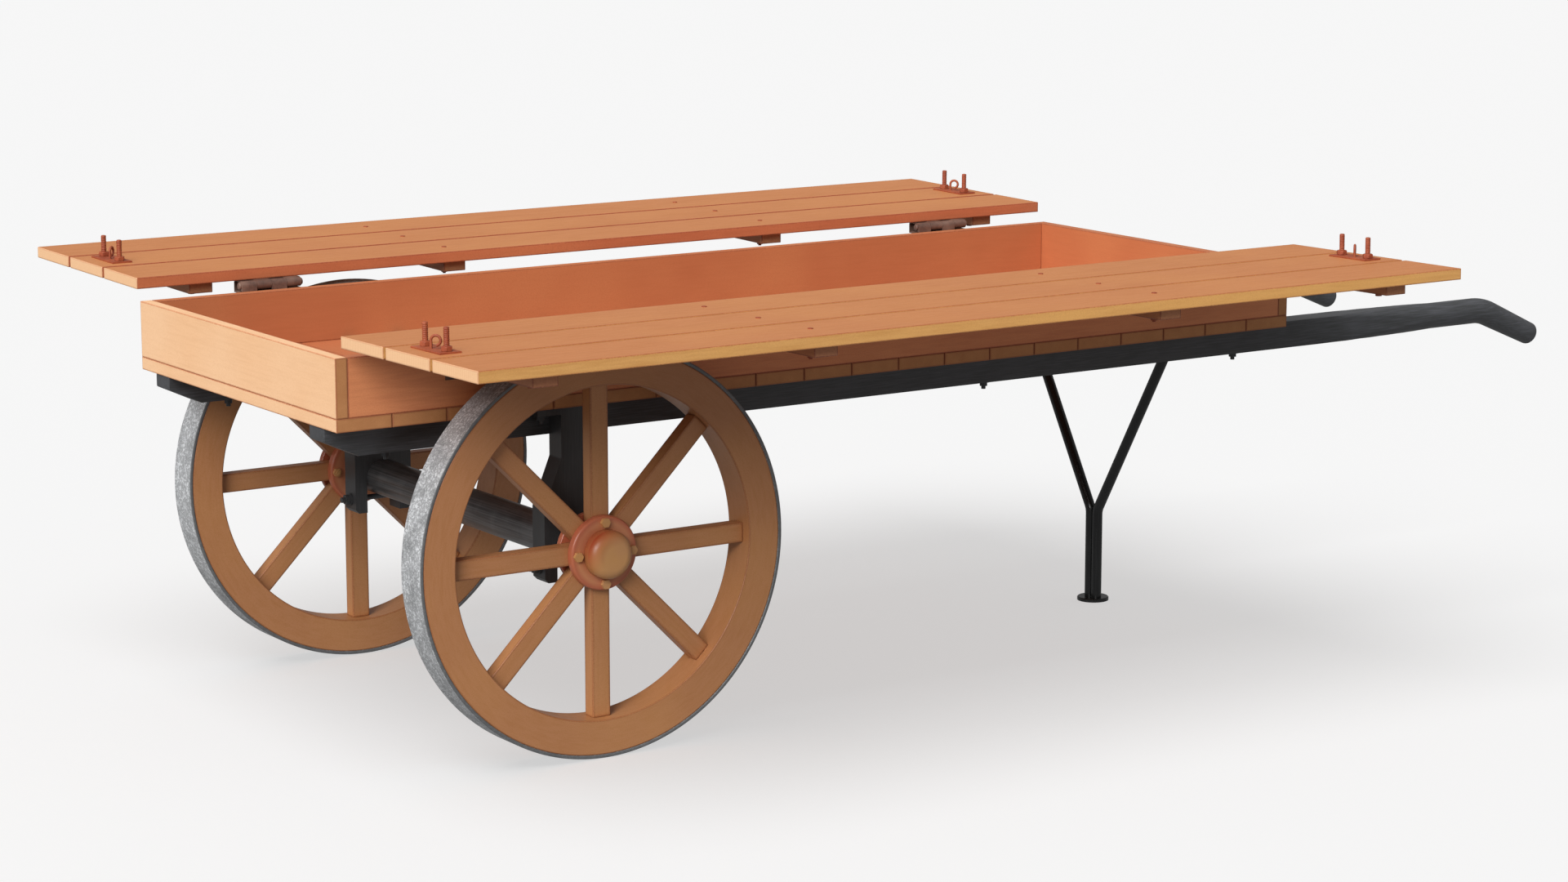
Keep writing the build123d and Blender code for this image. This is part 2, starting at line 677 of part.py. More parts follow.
# ---------------------------------------------------------------- leaves
plank_pitch = (leaf_width + leaf_gap) / leaf_planks
plank_width = plank_pitch - leaf_gap
leaf_top = leaf_under + leaf_thick
plank_middles = [leaf_edge_out + plank_width / 2 + k * plank_pitch for k in range(leaf_planks)]
bolt_rows = [plank_middles[0] - batten_bolt_shift, *plank_middles[1:]]
batten_centres = (
    batten_end_inset, tray_length / 2 - batten_mid_offset,
    tray_length / 2 + batten_mid_offset, tray_length - batten_end_inset,
)
plate_centres = (stud_plate_inset, tray_length - stud_plate_inset)
batten_bolt_hole = batten_bolt_radius + batten_bolt_gap
batten_nut_end = -batten_washer_thick - batten_nut_thick
stud_hole = stud_shank_radius + stud_hole_gap
plank_names = ("inner", "middle", "outer")
for name, side in sides:
    base = leaf_plane(side)
    mid_spots = [(x, side * u) for x in batten_centres[1:3] for u in bolt_rows]
    end_spots = [(x, side * u) for x in (batten_centres[0], batten_centres[3]) for u in bolt_rows]
    stud_spots = [
        (x, side * (plank_middles[1] + half * stud_spacing / 2)) for x in plate_centres for half in (-1, 1)
    ]

    for k, which in enumerate(plank_names):
        start = plank_middles[k] - plank_width / 2
        with BuildPart() as plank:
            near, away = sorted((side * start, side * (start + plank_width)))
            board(base.offset(leaf_under), leaf_inset, leaf_inset + leaf_length, near, away, leaf_thick)
            stack(base.offset(leaf_under - 1), [mid_spots[k], mid_spots[k + leaf_planks]],
                  [("round", batten_bolt_hole, 0, leaf_thick + 2)], Mode.SUBTRACT)
            stack(base.offset(leaf_under - 1), [end_spots[k], end_spots[k + leaf_planks]],
                  [("round", batten_bolt_hole, 0, leaf_thick - screw_cover + 2)], Mode.SUBTRACT)
            if which == "middle":
                stack(base.offset(leaf_under - 1), stud_spots,
                      [("round", stud_hole, 0, leaf_thick + 2)], Mode.SUBTRACT)
        save(plank, f"leaf_plank_{which}_{name}")

    with BuildPart() as battens:
        under = base.offset(leaf_under - batten_thick)
        for x in batten_centres:
            near, away = sorted((side * batten_start, side * (batten_start + batten_length)))
            board(under, x - batten_width / 2, x + batten_width / 2, near, away, batten_thick)
        stack(under.offset(-1), mid_spots + end_spots,
              [("round", batten_bolt_hole, 0, batten_thick + 2)], Mode.SUBTRACT)
    save(battens, f"leaf_battens_{name}")

    with BuildPart() as fasteners:
        under = base.offset(leaf_under - batten_thick)
        grip = batten_thick + leaf_thick
        below = [
            ("round", batten_washer_radius, -batten_washer_thick, 0),
            ("hex", batten_nut_radius, batten_nut_end, -batten_washer_thick),
        ]
        stack(under, mid_spots, below + [
            ("round", batten_bolt_radius, batten_nut_end - batten_bolt_tail, grip),
            ("round", batten_head_radius, grip, grip + batten_head_thick),
        ])
        stack(under, end_spots, below + [("round", batten_bolt_radius, 0, grip - screw_cover)])
        stack(base.offset(leaf_under - plate_thick - screw_head),
              [(c + dx, side * leaf_screw_reach) for c in hinge_spots for dx in screw_row],
              [("round", screw_radius, 0, screw_head)])
    save(fasteners, f"leaf_fasteners_{name}")

    with BuildPart() as stud_plates:
        with BuildSketch(base.offset(leaf_top)) as outline:
            with Locations(*[(x, side * plank_middles[1]) for x in plate_centres]):
                Rectangle(stud_plate_width, stud_plate_length)
            with Locations(*stud_spots):
                Circle(stud_hole, mode=Mode.SUBTRACT)
        extrude(amount=plate_thick)
        chamfer(stud_plates.edges().filter_by(GeomType.LINE).group_by(SortBy.LENGTH)[-1], 0.5)
    save(stud_plates, f"stud_plates_{name}")

    with BuildPart() as studs:
        plate_top = leaf_thick + plate_thick
        nut_end = plate_top + stud_nut_thick
        stack(base.offset(leaf_under), stud_spots, [
            ("hex", stud_head_radius, -stud_head_thick, 0),
            ("round", stud_shank_radius, 0, nut_end),
            ("hex", stud_nut_radius, plate_top, nut_end),
            ("round", stud_radius, nut_end, plate_top + stud_height),
        ])
    save(studs, f"clamp_studs_{name}")

    with BuildPart() as rings:
        for x in plate_centres:
            # the ring stands across the plate's diagonal, the other way round at the other end
            way = -side if x < tray_length / 2 else side
            foot = Location((x, side * plank_middles[1], 0), (0, 0, -45 * way))
            turned = Plane(base.offset(leaf_top + plate_thick).location * foot)
            upright = Plane(origin=turned.origin, x_dir=turned.x_dir, z_dir=-turned.y_dir)
            with BuildLine(upright) as wire:
                Line((-ring_radius, 0), (-ring_radius, ring_height))
                CenterArc((0, ring_height), ring_radius, 180, -ring_sweep)
            with BuildSketch(Plane(origin=wire.line @ 0, x_dir=turned.x_dir, z_dir=turned.z_dir)):
                Circle(ring_wire)
            sweep(path=wire.line)
    save(rings, f"eye_rings_{name}")
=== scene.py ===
import json
from math import cos, pi, radians, sin

import bpy
import numpy as np
from bpy.props import FloatProperty, FloatVectorProperty, IntProperty, PointerProperty, StringProperty
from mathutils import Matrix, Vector


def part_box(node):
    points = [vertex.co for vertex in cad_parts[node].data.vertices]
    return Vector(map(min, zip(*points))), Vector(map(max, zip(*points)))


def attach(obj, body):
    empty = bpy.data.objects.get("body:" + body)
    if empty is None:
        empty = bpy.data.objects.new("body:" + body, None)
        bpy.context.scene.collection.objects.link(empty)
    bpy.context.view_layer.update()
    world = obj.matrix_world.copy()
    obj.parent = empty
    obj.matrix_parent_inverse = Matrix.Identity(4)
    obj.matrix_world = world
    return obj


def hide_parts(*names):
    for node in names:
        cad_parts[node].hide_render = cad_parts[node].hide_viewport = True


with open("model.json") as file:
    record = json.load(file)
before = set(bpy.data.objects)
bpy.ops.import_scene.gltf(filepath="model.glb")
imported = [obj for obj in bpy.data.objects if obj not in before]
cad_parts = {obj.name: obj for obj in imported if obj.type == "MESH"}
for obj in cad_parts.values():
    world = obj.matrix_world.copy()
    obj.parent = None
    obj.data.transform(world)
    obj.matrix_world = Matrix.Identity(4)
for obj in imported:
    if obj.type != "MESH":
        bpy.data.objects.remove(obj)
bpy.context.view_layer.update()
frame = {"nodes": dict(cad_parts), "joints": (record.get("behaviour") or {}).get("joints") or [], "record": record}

bl_info = {
    "name": "Two-wheeled Flat Barrow",
    "version": (1, 0, 0),
    "blender": (4, 5, 0),
    "location": "3D View > Sidebar > Barrow",
    "description": "Finishes a two-wheeled flat barrow: boards, spoked wheels, threaded studs, paint, rust",
    "category": "Object",
}

SIDES = (("left", -1), ("right", 1))
MM = 0.001


# ---------------------------------------------------------------- the frame's own places

def solid_boxes(node, pivot=(0, 0, 0), axes=np.eye(3)):
    """Lowest and highest corner of each loose solid of a CAD node, along the given axes from a pivot.

    Points in one place share a label, and the lowest label spreads over each triangle until nothing changes.
    """
    mesh = frame["nodes"][node].data
    points = np.empty(len(mesh.vertices) * 3)
    mesh.vertices.foreach_get("co", points)
    points = points.reshape(-1, 3)
    corners = np.empty(len(mesh.loops), int)
    mesh.loops.foreach_get("vertex_index", corners)
    _, place = np.unique(np.round(points, 6), axis=0, return_inverse=True)
    place = place.reshape(-1)
    triangles = place[corners].reshape(-1, 3)
    label = np.arange(place.max() + 1)
    while True:
        lowest = label.copy()
        np.minimum.at(lowest, triangles.ravel(), np.repeat(label[triangles].min(1), 3))
        if (lowest == label).all():
            break
        label = lowest[lowest]
    local = (points - np.array(pivot)) @ np.array(axes).T
    owner = label[place]
    boxes = [(local[owner == k].min(0), local[owner == k].max(0)) for k in np.unique(owner)]
    return sorted(boxes, key=lambda box: tuple(np.round(box[0], 4)))


def leaf_axes(name, side):
    """A leaf's hinge point and its own axes: along the barrow, outwards and up from its boards."""
    joint = next(j for j in frame["joints"] if j["name"] == f"leaf_fold_{name}")
    stud = next(m for m in frame["record"]["mounts"] if m["name"] == f"stud_front_inner_{name}")
    up = np.array(stud["axis"]) / np.linalg.norm(stud["axis"])
    out = side * np.cross(up, (1, 0, 0))
    return np.array(joint["pos_m"]), np.array([(1, 0, 0), out, up])


def wheel_centre(name):
    low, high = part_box(f"tyre_{name}")
    return np.array((low + high) / 2)


# ---------------------------------------------------------------- surfaces

def grid_faces(rows, cols, ring=False):
    """Quads between neighbouring points of a rows by cols grid, closed across its columns, and across its
    rows if it is a ring. They face out where the columns turn left about the direction of the rows."""
    row = np.arange(rows if ring else rows - 1)[:, None]
    col = np.arange(cols)[None, :]
    below, beside = (row + 1) % rows, (col + 1) % cols
    quads = np.stack([row * cols + col, row * cols + beside, below * cols + beside, below * cols + col], -1)
    return quads.reshape(-1, 4)


def shell(points, grain, wear, ring=False, flip=False, look=None):
    """One closed surface: a grid of points with its grain places and its wear, and a face over each open
    end."""
    rows, cols = points.shape[:2]
    faces = grid_faces(rows, cols, ring).tolist()
    looks = np.zeros((rows if ring else rows - 1, cols), int) if look is None else look
    looks = looks.reshape(-1).tolist()
    if not ring:
        faces.append(list(range(cols))[::-1])
        faces.append([(rows - 1) * cols + c for c in range(cols)])
        looks += [looks[0], looks[-1]]
    if flip:
        faces = [face[::-1] for face in faces]
    return {
        "points": points.reshape(-1, 3), "faces": faces, "looks": looks,
        "grain": grain.reshape(-1, 3), "wear": np.broadcast_to(wear, points.shape[:2]).reshape(-1),
    }


def piece(name, body, shells, finishes, stands_for, sharp=38.0):
    """A mesh of one or more closed surfaces, with its finishes, its body and the CAD nodes that it stands
    for."""
    starts = np.cumsum([0] + [len(s["points"]) for s in shells])
    mesh = bpy.data.meshes.new(name)
    faces = [
        [corner + int(start) for corner in face] for s, start in zip(shells, starts) for face in s["faces"]]
    mesh.from_pydata(np.concatenate([s["points"] for s in shells]), [], faces)
    mesh.polygons.foreach_set("material_index", np.concatenate([s["looks"] for s in shells]))
    grain = mesh.attributes.new("grain", "FLOAT_VECTOR", "POINT")
    grain.data.foreach_set("vector", np.concatenate([s["grain"] for s in shells]).astype(np.float32).ravel())
    wear = mesh.attributes.new("wear", "FLOAT", "POINT")
    wear.data.foreach_set("value", np.concatenate([s["wear"] for s in shells]).astype(np.float32))
    for finish in finishes:
        mesh.materials.append(bpy.data.materials[finish])
    mesh.shade_smooth()
    mesh.set_sharp_from_angle(angle=radians(sharp))
    mesh.update()
    made = bpy.data.objects.new(name, mesh)
    bpy.context.scene.collection.objects.link(made)
    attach(made, body)
    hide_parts(*stands_for)
    return made


ARC_STEPS = 3            # pieces of the arc along a worn edge
END = 4                  # a board's looks: its sides towards +u, +v, -u and -v, and then its ends
ALONG_STRETCH = 14.0     # how much longer the grain is along a board than across it
ROUND_STRETCH = 6.0      # how much longer the streaks of a turned piece are round it than across it
# first seed of the grain of each kind of board, spaced so that no two boards share one
FLOOR_SEED, END_SEED, SIDE_SEED, PLANK_SEED, BATTEN_SEED, SPOKE_SEED = 100, 130, 140, 200, 300, 400


def section(half_u, half_v, arc, margin, inset):
    """Outline of a rectangle with quarter circles at its corners and a point at the margin from each corner,
    all drawn in by the inset. Returns its points and how worn each one is."""
    turn = np.linspace(0, pi / 2, ARC_STEPS + 1)
    deep, radius = max(arc, inset), max(arc - inset, 0)
    corner_u, corner_v = half_u - deep, half_v - deep
    flat_u = half_u - max(min(margin, 0.6 * half_u), inset)
    flat_v = half_v - max(min(margin, 0.6 * half_v), inset)
    side_u, side_v = half_u - inset, half_v - inset
    rounds = [
        np.stack([sign_u * corner_u + radius * np.cos(turn + start),
                  sign_v * corner_v + radius * np.sin(turn + start)], -1)
        for sign_u, sign_v, start in ((1, 1, 0), (-1, 1, pi / 2), (-1, -1, pi), (1, -1, 3 * pi / 2))
    ]
    flats = [
        [(flat_u, side_v), (-flat_u, side_v)], [(-side_u, flat_v), (-side_u, -flat_v)],
        [(-flat_u, -side_v), (flat_u, -side_v)], [(side_u, -flat_v), (side_u, flat_v)],
    ]
    outline = np.concatenate([np.concatenate([r, f]) for r, f in zip(rounds, flats)])
    worn = np.tile([1.0] * (ARC_STEPS + 1) + [0.0, 0.0], 4)
    return outline, worn


def board(low, high, along, arc, margin, seed, stretch=ALONG_STRETCH, pivot=(0, 0, 0), axes=np.eye(3),
          looks=(0, 0, 0, 0, 0)):
    """A board: a rounded rectangle carried along one axis. Near each end the outline is drawn in on the
    same arc, and the flat end closes it. Its grain places are its own length divided by the stretch and its
    two cross sizes, moved by a seeded offset, so that no two boards match."""
    low, high = np.array(low, float), np.array(high, float)
    u, v = (along + 1) % 3, (along + 2) % 3
    half_u, half_v = (high[u] - low[u]) / 2, (high[v] - low[v]) / 2
    length = high[along] - low[along]
    inner = min(margin, 0.6 * min(half_u, half_v))
    turn = np.linspace(0, pi / 2, ARC_STEPS + 1)
    on_end, on_arc, on_side = range(3)
    # each outline has its distance along the board, its inset and the part of the board that it is on
    ends = [(0.0, inner, on_end)]
    ends += [(arc * (1 - cos(t)), arc * (1 - sin(t)), on_arc) for t in turn]
    ends += [(margin, 0.0, on_side)]
    middle = [(s, 0.0, on_side) for s in np.linspace(margin, length - margin, 6)[1:-1]]
    rings = ends + middle + [(length - s, inset, kind) for s, inset, kind in reversed(ends)]
    outlines, worn = zip(*[section(half_u, half_v, arc, margin, inset) for _, inset, _ in rings])
    flat = np.stack(outlines)
    kinds = np.array([kind for _, _, kind in rings])[:, None]
    wear = np.where(kinds == on_end, 0.0, np.where(kinds == on_arc, 1.0, np.stack(worn)))
    local = np.empty(flat.shape[:2] + (3,))
    local[..., along] = np.array([s for s, _, _ in rings])[:, None] + low[along]
    local[..., u] = flat[..., 0] + (low[u] + high[u]) / 2
    local[..., v] = flat[..., 1] + (low[v] + high[v]) / 2
    offset = np.random.default_rng(seed).uniform(-3, 3, 3)
    grain = np.stack([local[..., along] / stretch, local[..., u], local[..., v]], -1) + offset
    sides = np.concatenate([[k] + [(k + 1) % 4] * (ARC_STEPS + 2) for k in range(4)])
    look = np.tile(np.array(looks)[sides], (len(rings) - 1, 1))
    look[:ARC_STEPS + 1] = look[-ARC_STEPS - 1:] = looks[END]
    flip = np.linalg.det(np.array(axes)) < 0
    return shell(local @ np.array(axes) + np.array(pivot), grain, wear, look=look, flip=flip)


def turned(profile, wear, centre, axis, steps):
    """A turned piece: a profile of radius and height swung about an axis through a centre. Its grain places
    are radius plus 0.7 of the height, and the circle's two coordinates divided by a stretch, so that streaks
    run round it."""
    axis = np.array(axis, float)
    first = np.cross(axis, (0, 0, 1) if abs(axis[2]) < 0.9 else (1, 0, 0))
    first /= np.linalg.norm(first)
    second = np.cross(axis, first)
    profile = np.array(profile, float)
    angle = np.linspace(0, 2 * pi, steps, endpoint=False)
    around = np.cos(angle)[:, None] * first + np.sin(angle)[:, None] * second
    points = (np.array(centre) + profile[:, 0, None, None] * around[None]
              + profile[:, 1, None, None] * axis)
    radius = np.broadcast_to(profile[:, 0, None], points.shape[:2])
    height = np.broadcast_to(profile[:, 1, None], points.shape[:2])
    grain = np.stack([radius + 0.7 * height, radius * np.cos(angle) / ROUND_STRETCH,
                      radius * np.sin(angle) / ROUND_STRETCH], -1)
    wear = np.array(wear, float)
    return shell(points, grain, wear[:, None] if wear.ndim == 1 else wear, ring=True)


def rounded_ring(inner, outer, low, high, arc):
    """Profile of a ring as radius and height, and how worn each point is: quarter circles at its corners,
    with a point at the margin on both sides of each. It turns left, so that its faces look out."""
    turn = np.linspace(0, pi / 2, ARC_STEPS + 1)
    margin = min(3 * MM, (outer - inner) / 2.5)
    points, worn = [], []
    for radius, height, start, before, after in (
        (outer - arc, high - arc, 0, (outer, high - margin), (outer - margin, high)),
        (inner + arc, high - arc, pi / 2, (inner + margin, high), (inner, high - margin)),
        (inner + arc, low + arc, pi, (inner, low + margin), (inner + margin, low)),
        (outer - arc, low + arc, 3 * pi / 2, (outer - margin, low), (outer, low + margin)),
    ):
        rounding = [(radius + arc * cos(t + start), height + arc * sin(t + start)) for t in turn]
        points += [before] + rounding + [after]
        worn += [0.0] + [1.0] * len(turn) + [0.0]
    return points, worn


def hex_nut(centre, base, top, flat, pivot, axes):
    """A hexagon whose radius is its flat's distance over the cosine of the angle from that flat, held inside
    a 30 degree cone at both ends, which gives the curved edge of a turned nut."""
    face_share, cone_slope = 0.94, 1.73       # radius of the end face over the flat, tangent of 60 degrees
    angle = np.linspace(0, 2 * pi, 36, endpoint=False)
    hexagon = flat / np.cos((angle % (pi / 3)) - pi / 6)
    chamfer = np.array([0, 0.25, 0.55, 0.9, 1.3]) * MM
    height = np.concatenate([base + chamfer, top - chamfer[::-1]])
    cone = face_share * flat + np.minimum(height - base, top - height) * cone_slope
    reach = np.minimum(hexagon[None], cone[:, None])
    local = np.stack([
        centre[0] + reach * np.cos(angle), centre[1] + reach * np.sin(angle),
        np.broadcast_to(height[:, None], reach.shape),
    ], -1)
    return shell(local @ axes + pivot, local, 0.0, flip=np.linalg.det(axes) < 0)


# ---------------------------------------------------------------- finishes

def linear(colour):
    """An sRGB hex colour as linear light, with full alpha."""
    parts = [int(colour[i:i + 2], 16) / 255 for i in (1, 3, 5)]
    return (*[p / 12.92 if p <= 0.04045 else ((p + 0.055) / 1.055) ** 2.4 for p in parts], 1.0)


def add(tree, kind, inputs=None, out=0, **settings):
    """Adds a shader node and gives back one of its outputs. The settings are its properties, and each input
    is a value or the output that feeds it."""
    made = tree.nodes.new(kind)
    for key, value in settings.items():
        setattr(made, key, value)
    for key, value in (inputs or {}).items():
        if isinstance(value, bpy.types.NodeSocket):
            tree.links.new(value, made.inputs[key])
        else:
            made.inputs[key].default_value = value
    return made.outputs[out] if made.outputs else None


def blank(name):
    """A material with no nodes yet, and its tree."""
    material = bpy.data.materials.new(name)
    material.use_nodes = True
    material.node_tree.nodes.clear()
    return material.node_tree


def layer(tree, below, tint, most, pattern, low, high):
    """Lays a tint over a colour: none of it where the pattern is at its low value, and the most at its high
    one."""
    share = add(tree, "ShaderNodeMapRange", {0: pattern, 1: low, 2: high, 3: 0.0, 4: most})
    return add(tree, "ShaderNodeMix", {0: share, 6: below, 7: linear(tint)}, 2, data_type="RGBA")


def surface(tree, colour, shine, pattern, depth, **fixed):
    """The shader and the output. The pattern moves the roughness between two values and raises the surface
    by up to the depth in metres. The fixed settings are set on the shader's own sockets."""
    rough = add(tree, "ShaderNodeMapRange", {0: pattern, 1: 0.3, 2: 0.7, 3: shine[0], 4: shine[1]})
    bump = add(tree, "ShaderNodeBump", {"Height": pattern, "Distance": depth, "Strength": 0.6})
    skin = {"Base Color": colour, "Roughness": rough, "Normal": bump, **fixed}
    add(tree, "ShaderNodeOutputMaterial", {"Surface": add(tree, "ShaderNodeBsdfPrincipled", skin)})


def planed_wood(name, tint, streak, edge, patch, shine):
    """Planed softwood or ash under thin coloured oil. It shows soft streaks about 6 mm wide along the
    grain, slow patches of a second tint, a fine speckle where pores took up the oil, and redder oil left
    along the edges."""
    tree = blank(name)
    grain = add(tree, "ShaderNodeAttribute", out="Vector", attribute_name="grain")
    worn = add(tree, "ShaderNodeAttribute", out="Fac", attribute_name="wear")
    place = add(tree, "ShaderNodeTexCoord", out="Object")
    streaks = add(tree, "ShaderNodeTexNoise", {
        "Vector": grain, "Scale": 1 / (6 * MM), "Detail": 5.0, "Roughness": 0.6, "Distortion": 0.4})
    pores = add(tree, "ShaderNodeTexNoise", {"Vector": grain, "Scale": 1 / (1.6 * MM), "Detail": 3.0})
    patches = add(tree, "ShaderNodeTexNoise", {"Vector": place, "Scale": 1 / (220 * MM), "Detail": 2.0})
    # real pores are about 0.3 mm across, drawn at 2 mm so that they show
    specks = add(tree, "ShaderNodeTexNoise", {"Vector": place, "Scale": 1 / (2 * MM), "Detail": 2.0})
    colour = layer(tree, linear(tint), streak, 0.55, streaks, 0.42, 0.68)
    colour = layer(tree, colour, patch, 0.5, patches, 0.42, 0.70)
    colour = layer(tree, colour, streak, 0.35, specks, 0.45, 0.65)
    rubbed = add(tree, "ShaderNodeMath", {0: worn, 1: specks}, operation="MULTIPLY")
    colour = layer(tree, colour, edge, 0.9, rubbed, 0.1, 0.6)
    surface(tree, colour, shine, pores, 0.1 * MM)


def sawn_end(name, tint, line, edge):
    """Sawn end of a softwood board: pale wood with upright growth rings about 4 mm apart and rough fibres."""
    tree = blank(name)
    place = add(tree, "ShaderNodeTexCoord", out="Object")
    worn = add(tree, "ShaderNodeAttribute", out="Fac", attribute_name="wear")
    # a band wave repeats every pi / 10 of its scaled coordinate
    rings = add(tree, "ShaderNodeTexWave", {
        "Vector": place, "Scale": pi / 10 / (4.1 * MM), "Distortion": 1.2, "Detail": 2.0, "Detail Scale": 0.6,
    }, 1, wave_type="BANDS", bands_direction="Y")
    fibres = add(tree, "ShaderNodeTexNoise", {"Vector": place, "Scale": 1 / (1.5 * MM), "Detail": 3.0})
    colour = layer(tree, linear(tint), line, 0.5, rings, 0.35, 0.95)
    colour = layer(tree, colour, line, 0.3, fibres, 0.45, 0.75)
    colour = layer(tree, colour, edge, 0.6, worn, 0.0, 1.0)
    surface(tree, colour, (0.6, 0.75), fibres, 0.15 * MM)


def brushed_black(name, tint, light, lines, shine, metal=0.0, streak=0.8):
    """Black oil paint laid on with a brush, or a drawn bar: hairline ridges about 2 mm apart along one axis,
    a little greyer where they stand proud, and a satin shine that follows them; on the axle the paler streaks are
    painted highlights."""
    tree = blank(name)
    place = add(tree, "ShaderNodeTexCoord", out="Object")
    drawn = add(tree, "ShaderNodeMapping", {"Vector": place, "Scale": lines})
    ridges = add(tree, "ShaderNodeTexNoise", {"Vector": drawn, "Scale": 1 / (2.2 * MM), "Detail": 4.0})
    clouds = add(tree, "ShaderNodeTexNoise", {"Vector": place, "Scale": 1 / (60 * MM), "Detail": 3.0})
    colour = layer(tree, linear(tint), light, streak, ridges, 0.42, 0.72)
    colour = layer(tree, colour, light, 0.3, clouds, 0.45, 0.75)
    surface(tree, colour, shine, ridges, 0.15 * MM, Metallic=metal)


def galvanised(name, tint, bright, dark):
    """Hot-dipped galvanised steel: dull zinc with bright flecks about 4 mm across, darker pits and road
    scuffs."""
    tree = blank(name)
    place = add(tree, "ShaderNodeTexCoord", out="Object")
    worn = add(tree, "ShaderNodeAttribute", out="Fac", attribute_name="wear")
    flecks = add(tree, "ShaderNodeTexVoronoi", {"Vector": place, "Scale": 1 / (4 * MM)}, "Color")
    fleck = add(tree, "ShaderNodeSeparateColor", {0: flecks})
    grit = add(tree, "ShaderNodeTexNoise", {"Vector": place, "Scale": 1 / (2.5 * MM), "Detail": 4.0})
    cloud = add(tree, "ShaderNodeTexNoise", {"Vector": place, "Scale": 1 / (45 * MM), "Detail": 3.0})
    colour = layer(tree, linear(tint), bright, 0.7, fleck, 0.6, 1.0)
    colour = layer(tree, colour, bright, 0.9, grit, 0.52, 0.68)
    colour = layer(tree, colour, dark, 0.5, cloud, 0.45, 0.7)
    colour = layer(tree, colour, dark, 0.9, worn, 0.0, 1.0)
    surface(tree, colour, (0.42, 0.6), grit, 0.3 * MM, Metallic=0.25)


def old_iron(name, tint, dark, light, shine, blotch):
    """Cast or forged iron under thin rust or red oxide paint: soft blotches, pits about 1 mm across and
    lighter dry rust on top."""
    tree = blank(name)
    place = add(tree, "ShaderNodeTexCoord", out="Object")
    blotches = add(tree, "ShaderNodeTexNoise", {
        "Vector": place, "Scale": 1 / blotch, "Detail": 4.0, "Roughness": 0.6, "Distortion": 0.3})
    slow = add(tree, "ShaderNodeTexNoise", {"Vector": place, "Scale": 1 / (45 * MM), "Detail": 2.0})
    pits = add(tree, "ShaderNodeTexNoise", {"Vector": place, "Scale": 1 / (1 * MM), "Detail": 3.0})
    colour = layer(tree, linear(tint), dark, 0.6, blotches, 0.40, 0.70)
    colour = layer(tree, colour, light, 0.65, slow, 0.42, 0.68)
    surface(tree, colour, shine, pits, 0.12 * MM)


def rubbed_enamel(name, tint, rim, light, shine):
    """Enamel over a casting, rubbed thin by hands: pale in the middle and redder where it runs up to a
    rim."""
    tree = blank(name)
    place = add(tree, "ShaderNodeTexCoord", out="Object")
    worn = add(tree, "ShaderNodeAttribute", out="Fac", attribute_name="wear")
    slow = add(tree, "ShaderNodeTexNoise", {"Vector": place, "Scale": 1 / (50 * MM), "Detail": 2.0})
    pits = add(tree, "ShaderNodeTexNoise", {"Vector": place, "Scale": 1 / (1.2 * MM), "Detail": 3.0})
    colour = layer(tree, linear(tint), light, 0.6, slow, 0.40, 0.65)
    colour = layer(tree, colour, rim, 0.9, worn, 0.1, 1.0)
    surface(tree, colour, shine, pits, 0.08 * MM)


# ---------------------------------------------------------------- settings

def colour_text(name, words, value):
    return StringProperty(name=name, description=words, default=value)


class BarrowSizes(bpy.types.PropertyGroup):
    """Sizes of the details that the finished pieces add to the frame."""

    board_arc: FloatProperty(
        name="Board edge", description="Radius of a board's worn edge", default=1.1 * MM, unit="LENGTH")
    edge_band: FloatProperty(
        name="Edge band", description="Width of the darker band along an edge", default=3 * MM, unit="LENGTH")
    tyre_arc: FloatProperty(
        name="Tyre edge", description="Radius of the tyre's rubbed edge", default=1.6 * MM, unit="LENGTH")
    thread_pitch: FloatProperty(
        name="Thread pitch", description="Height of one turn of a stud's thread", default=3.2 * MM,
        unit="LENGTH")
    thread_depth: FloatProperty(
        name="Thread depth", description="Depth of a stud's thread", default=0.85 * MM, unit="LENGTH")
    ring_steps: IntProperty(
        name="Ring steps", description="Points round a wheel's rim", default=192, min=48, max=360)


class BarrowColours(bpy.types.PropertyGroup):
    """Colours of the main finishes, as sRGB hex. The leaf edges and the tray's inside, front and sides are copies
    of one oiled pine tinted as light falls on them: painted light and painted shade.
    """

    leaf_face: colour_text("Leaf face", "Broad face of a leaf's plank", "#c37f4f")
    # painted light: a paler, more golden copy of the leaf face
    leaf_outer: colour_text("Leaf outer edge", "Long outer edge of a leaf", "#dfa763")
    # painted shade: a darker, redder copy of the leaf face
    leaf_inner: colour_text("Leaf inner edge", "Long inner edge of a leaf", "#bf6c47")
    # painted shade: a darker, redder copy of the pine, as in the tray's hollow
    tray_inside: colour_text("Tray inside", "Inner faces of the tray", "#b96d45")
    # painted light: the palest copy, mostly on faces turned to the front
    tray_front: colour_text("Tray front", "Faces of the tray's end boards", "#efbf92")
    # painted light: a paler copy for the side boards' outer faces
    tray_side: colour_text("Tray side", "Outer faces of the tray's side boards", "#dd8d5d")
    wheel: colour_text("Wheel wood", "Felloes and spokes", "#b87f55")
    black: colour_text("Black paint", "Shafts, forks and prop leg", "#393a3b")
    rust: colour_text("Rusty iron", "Studs, plates and rings", "#964629")


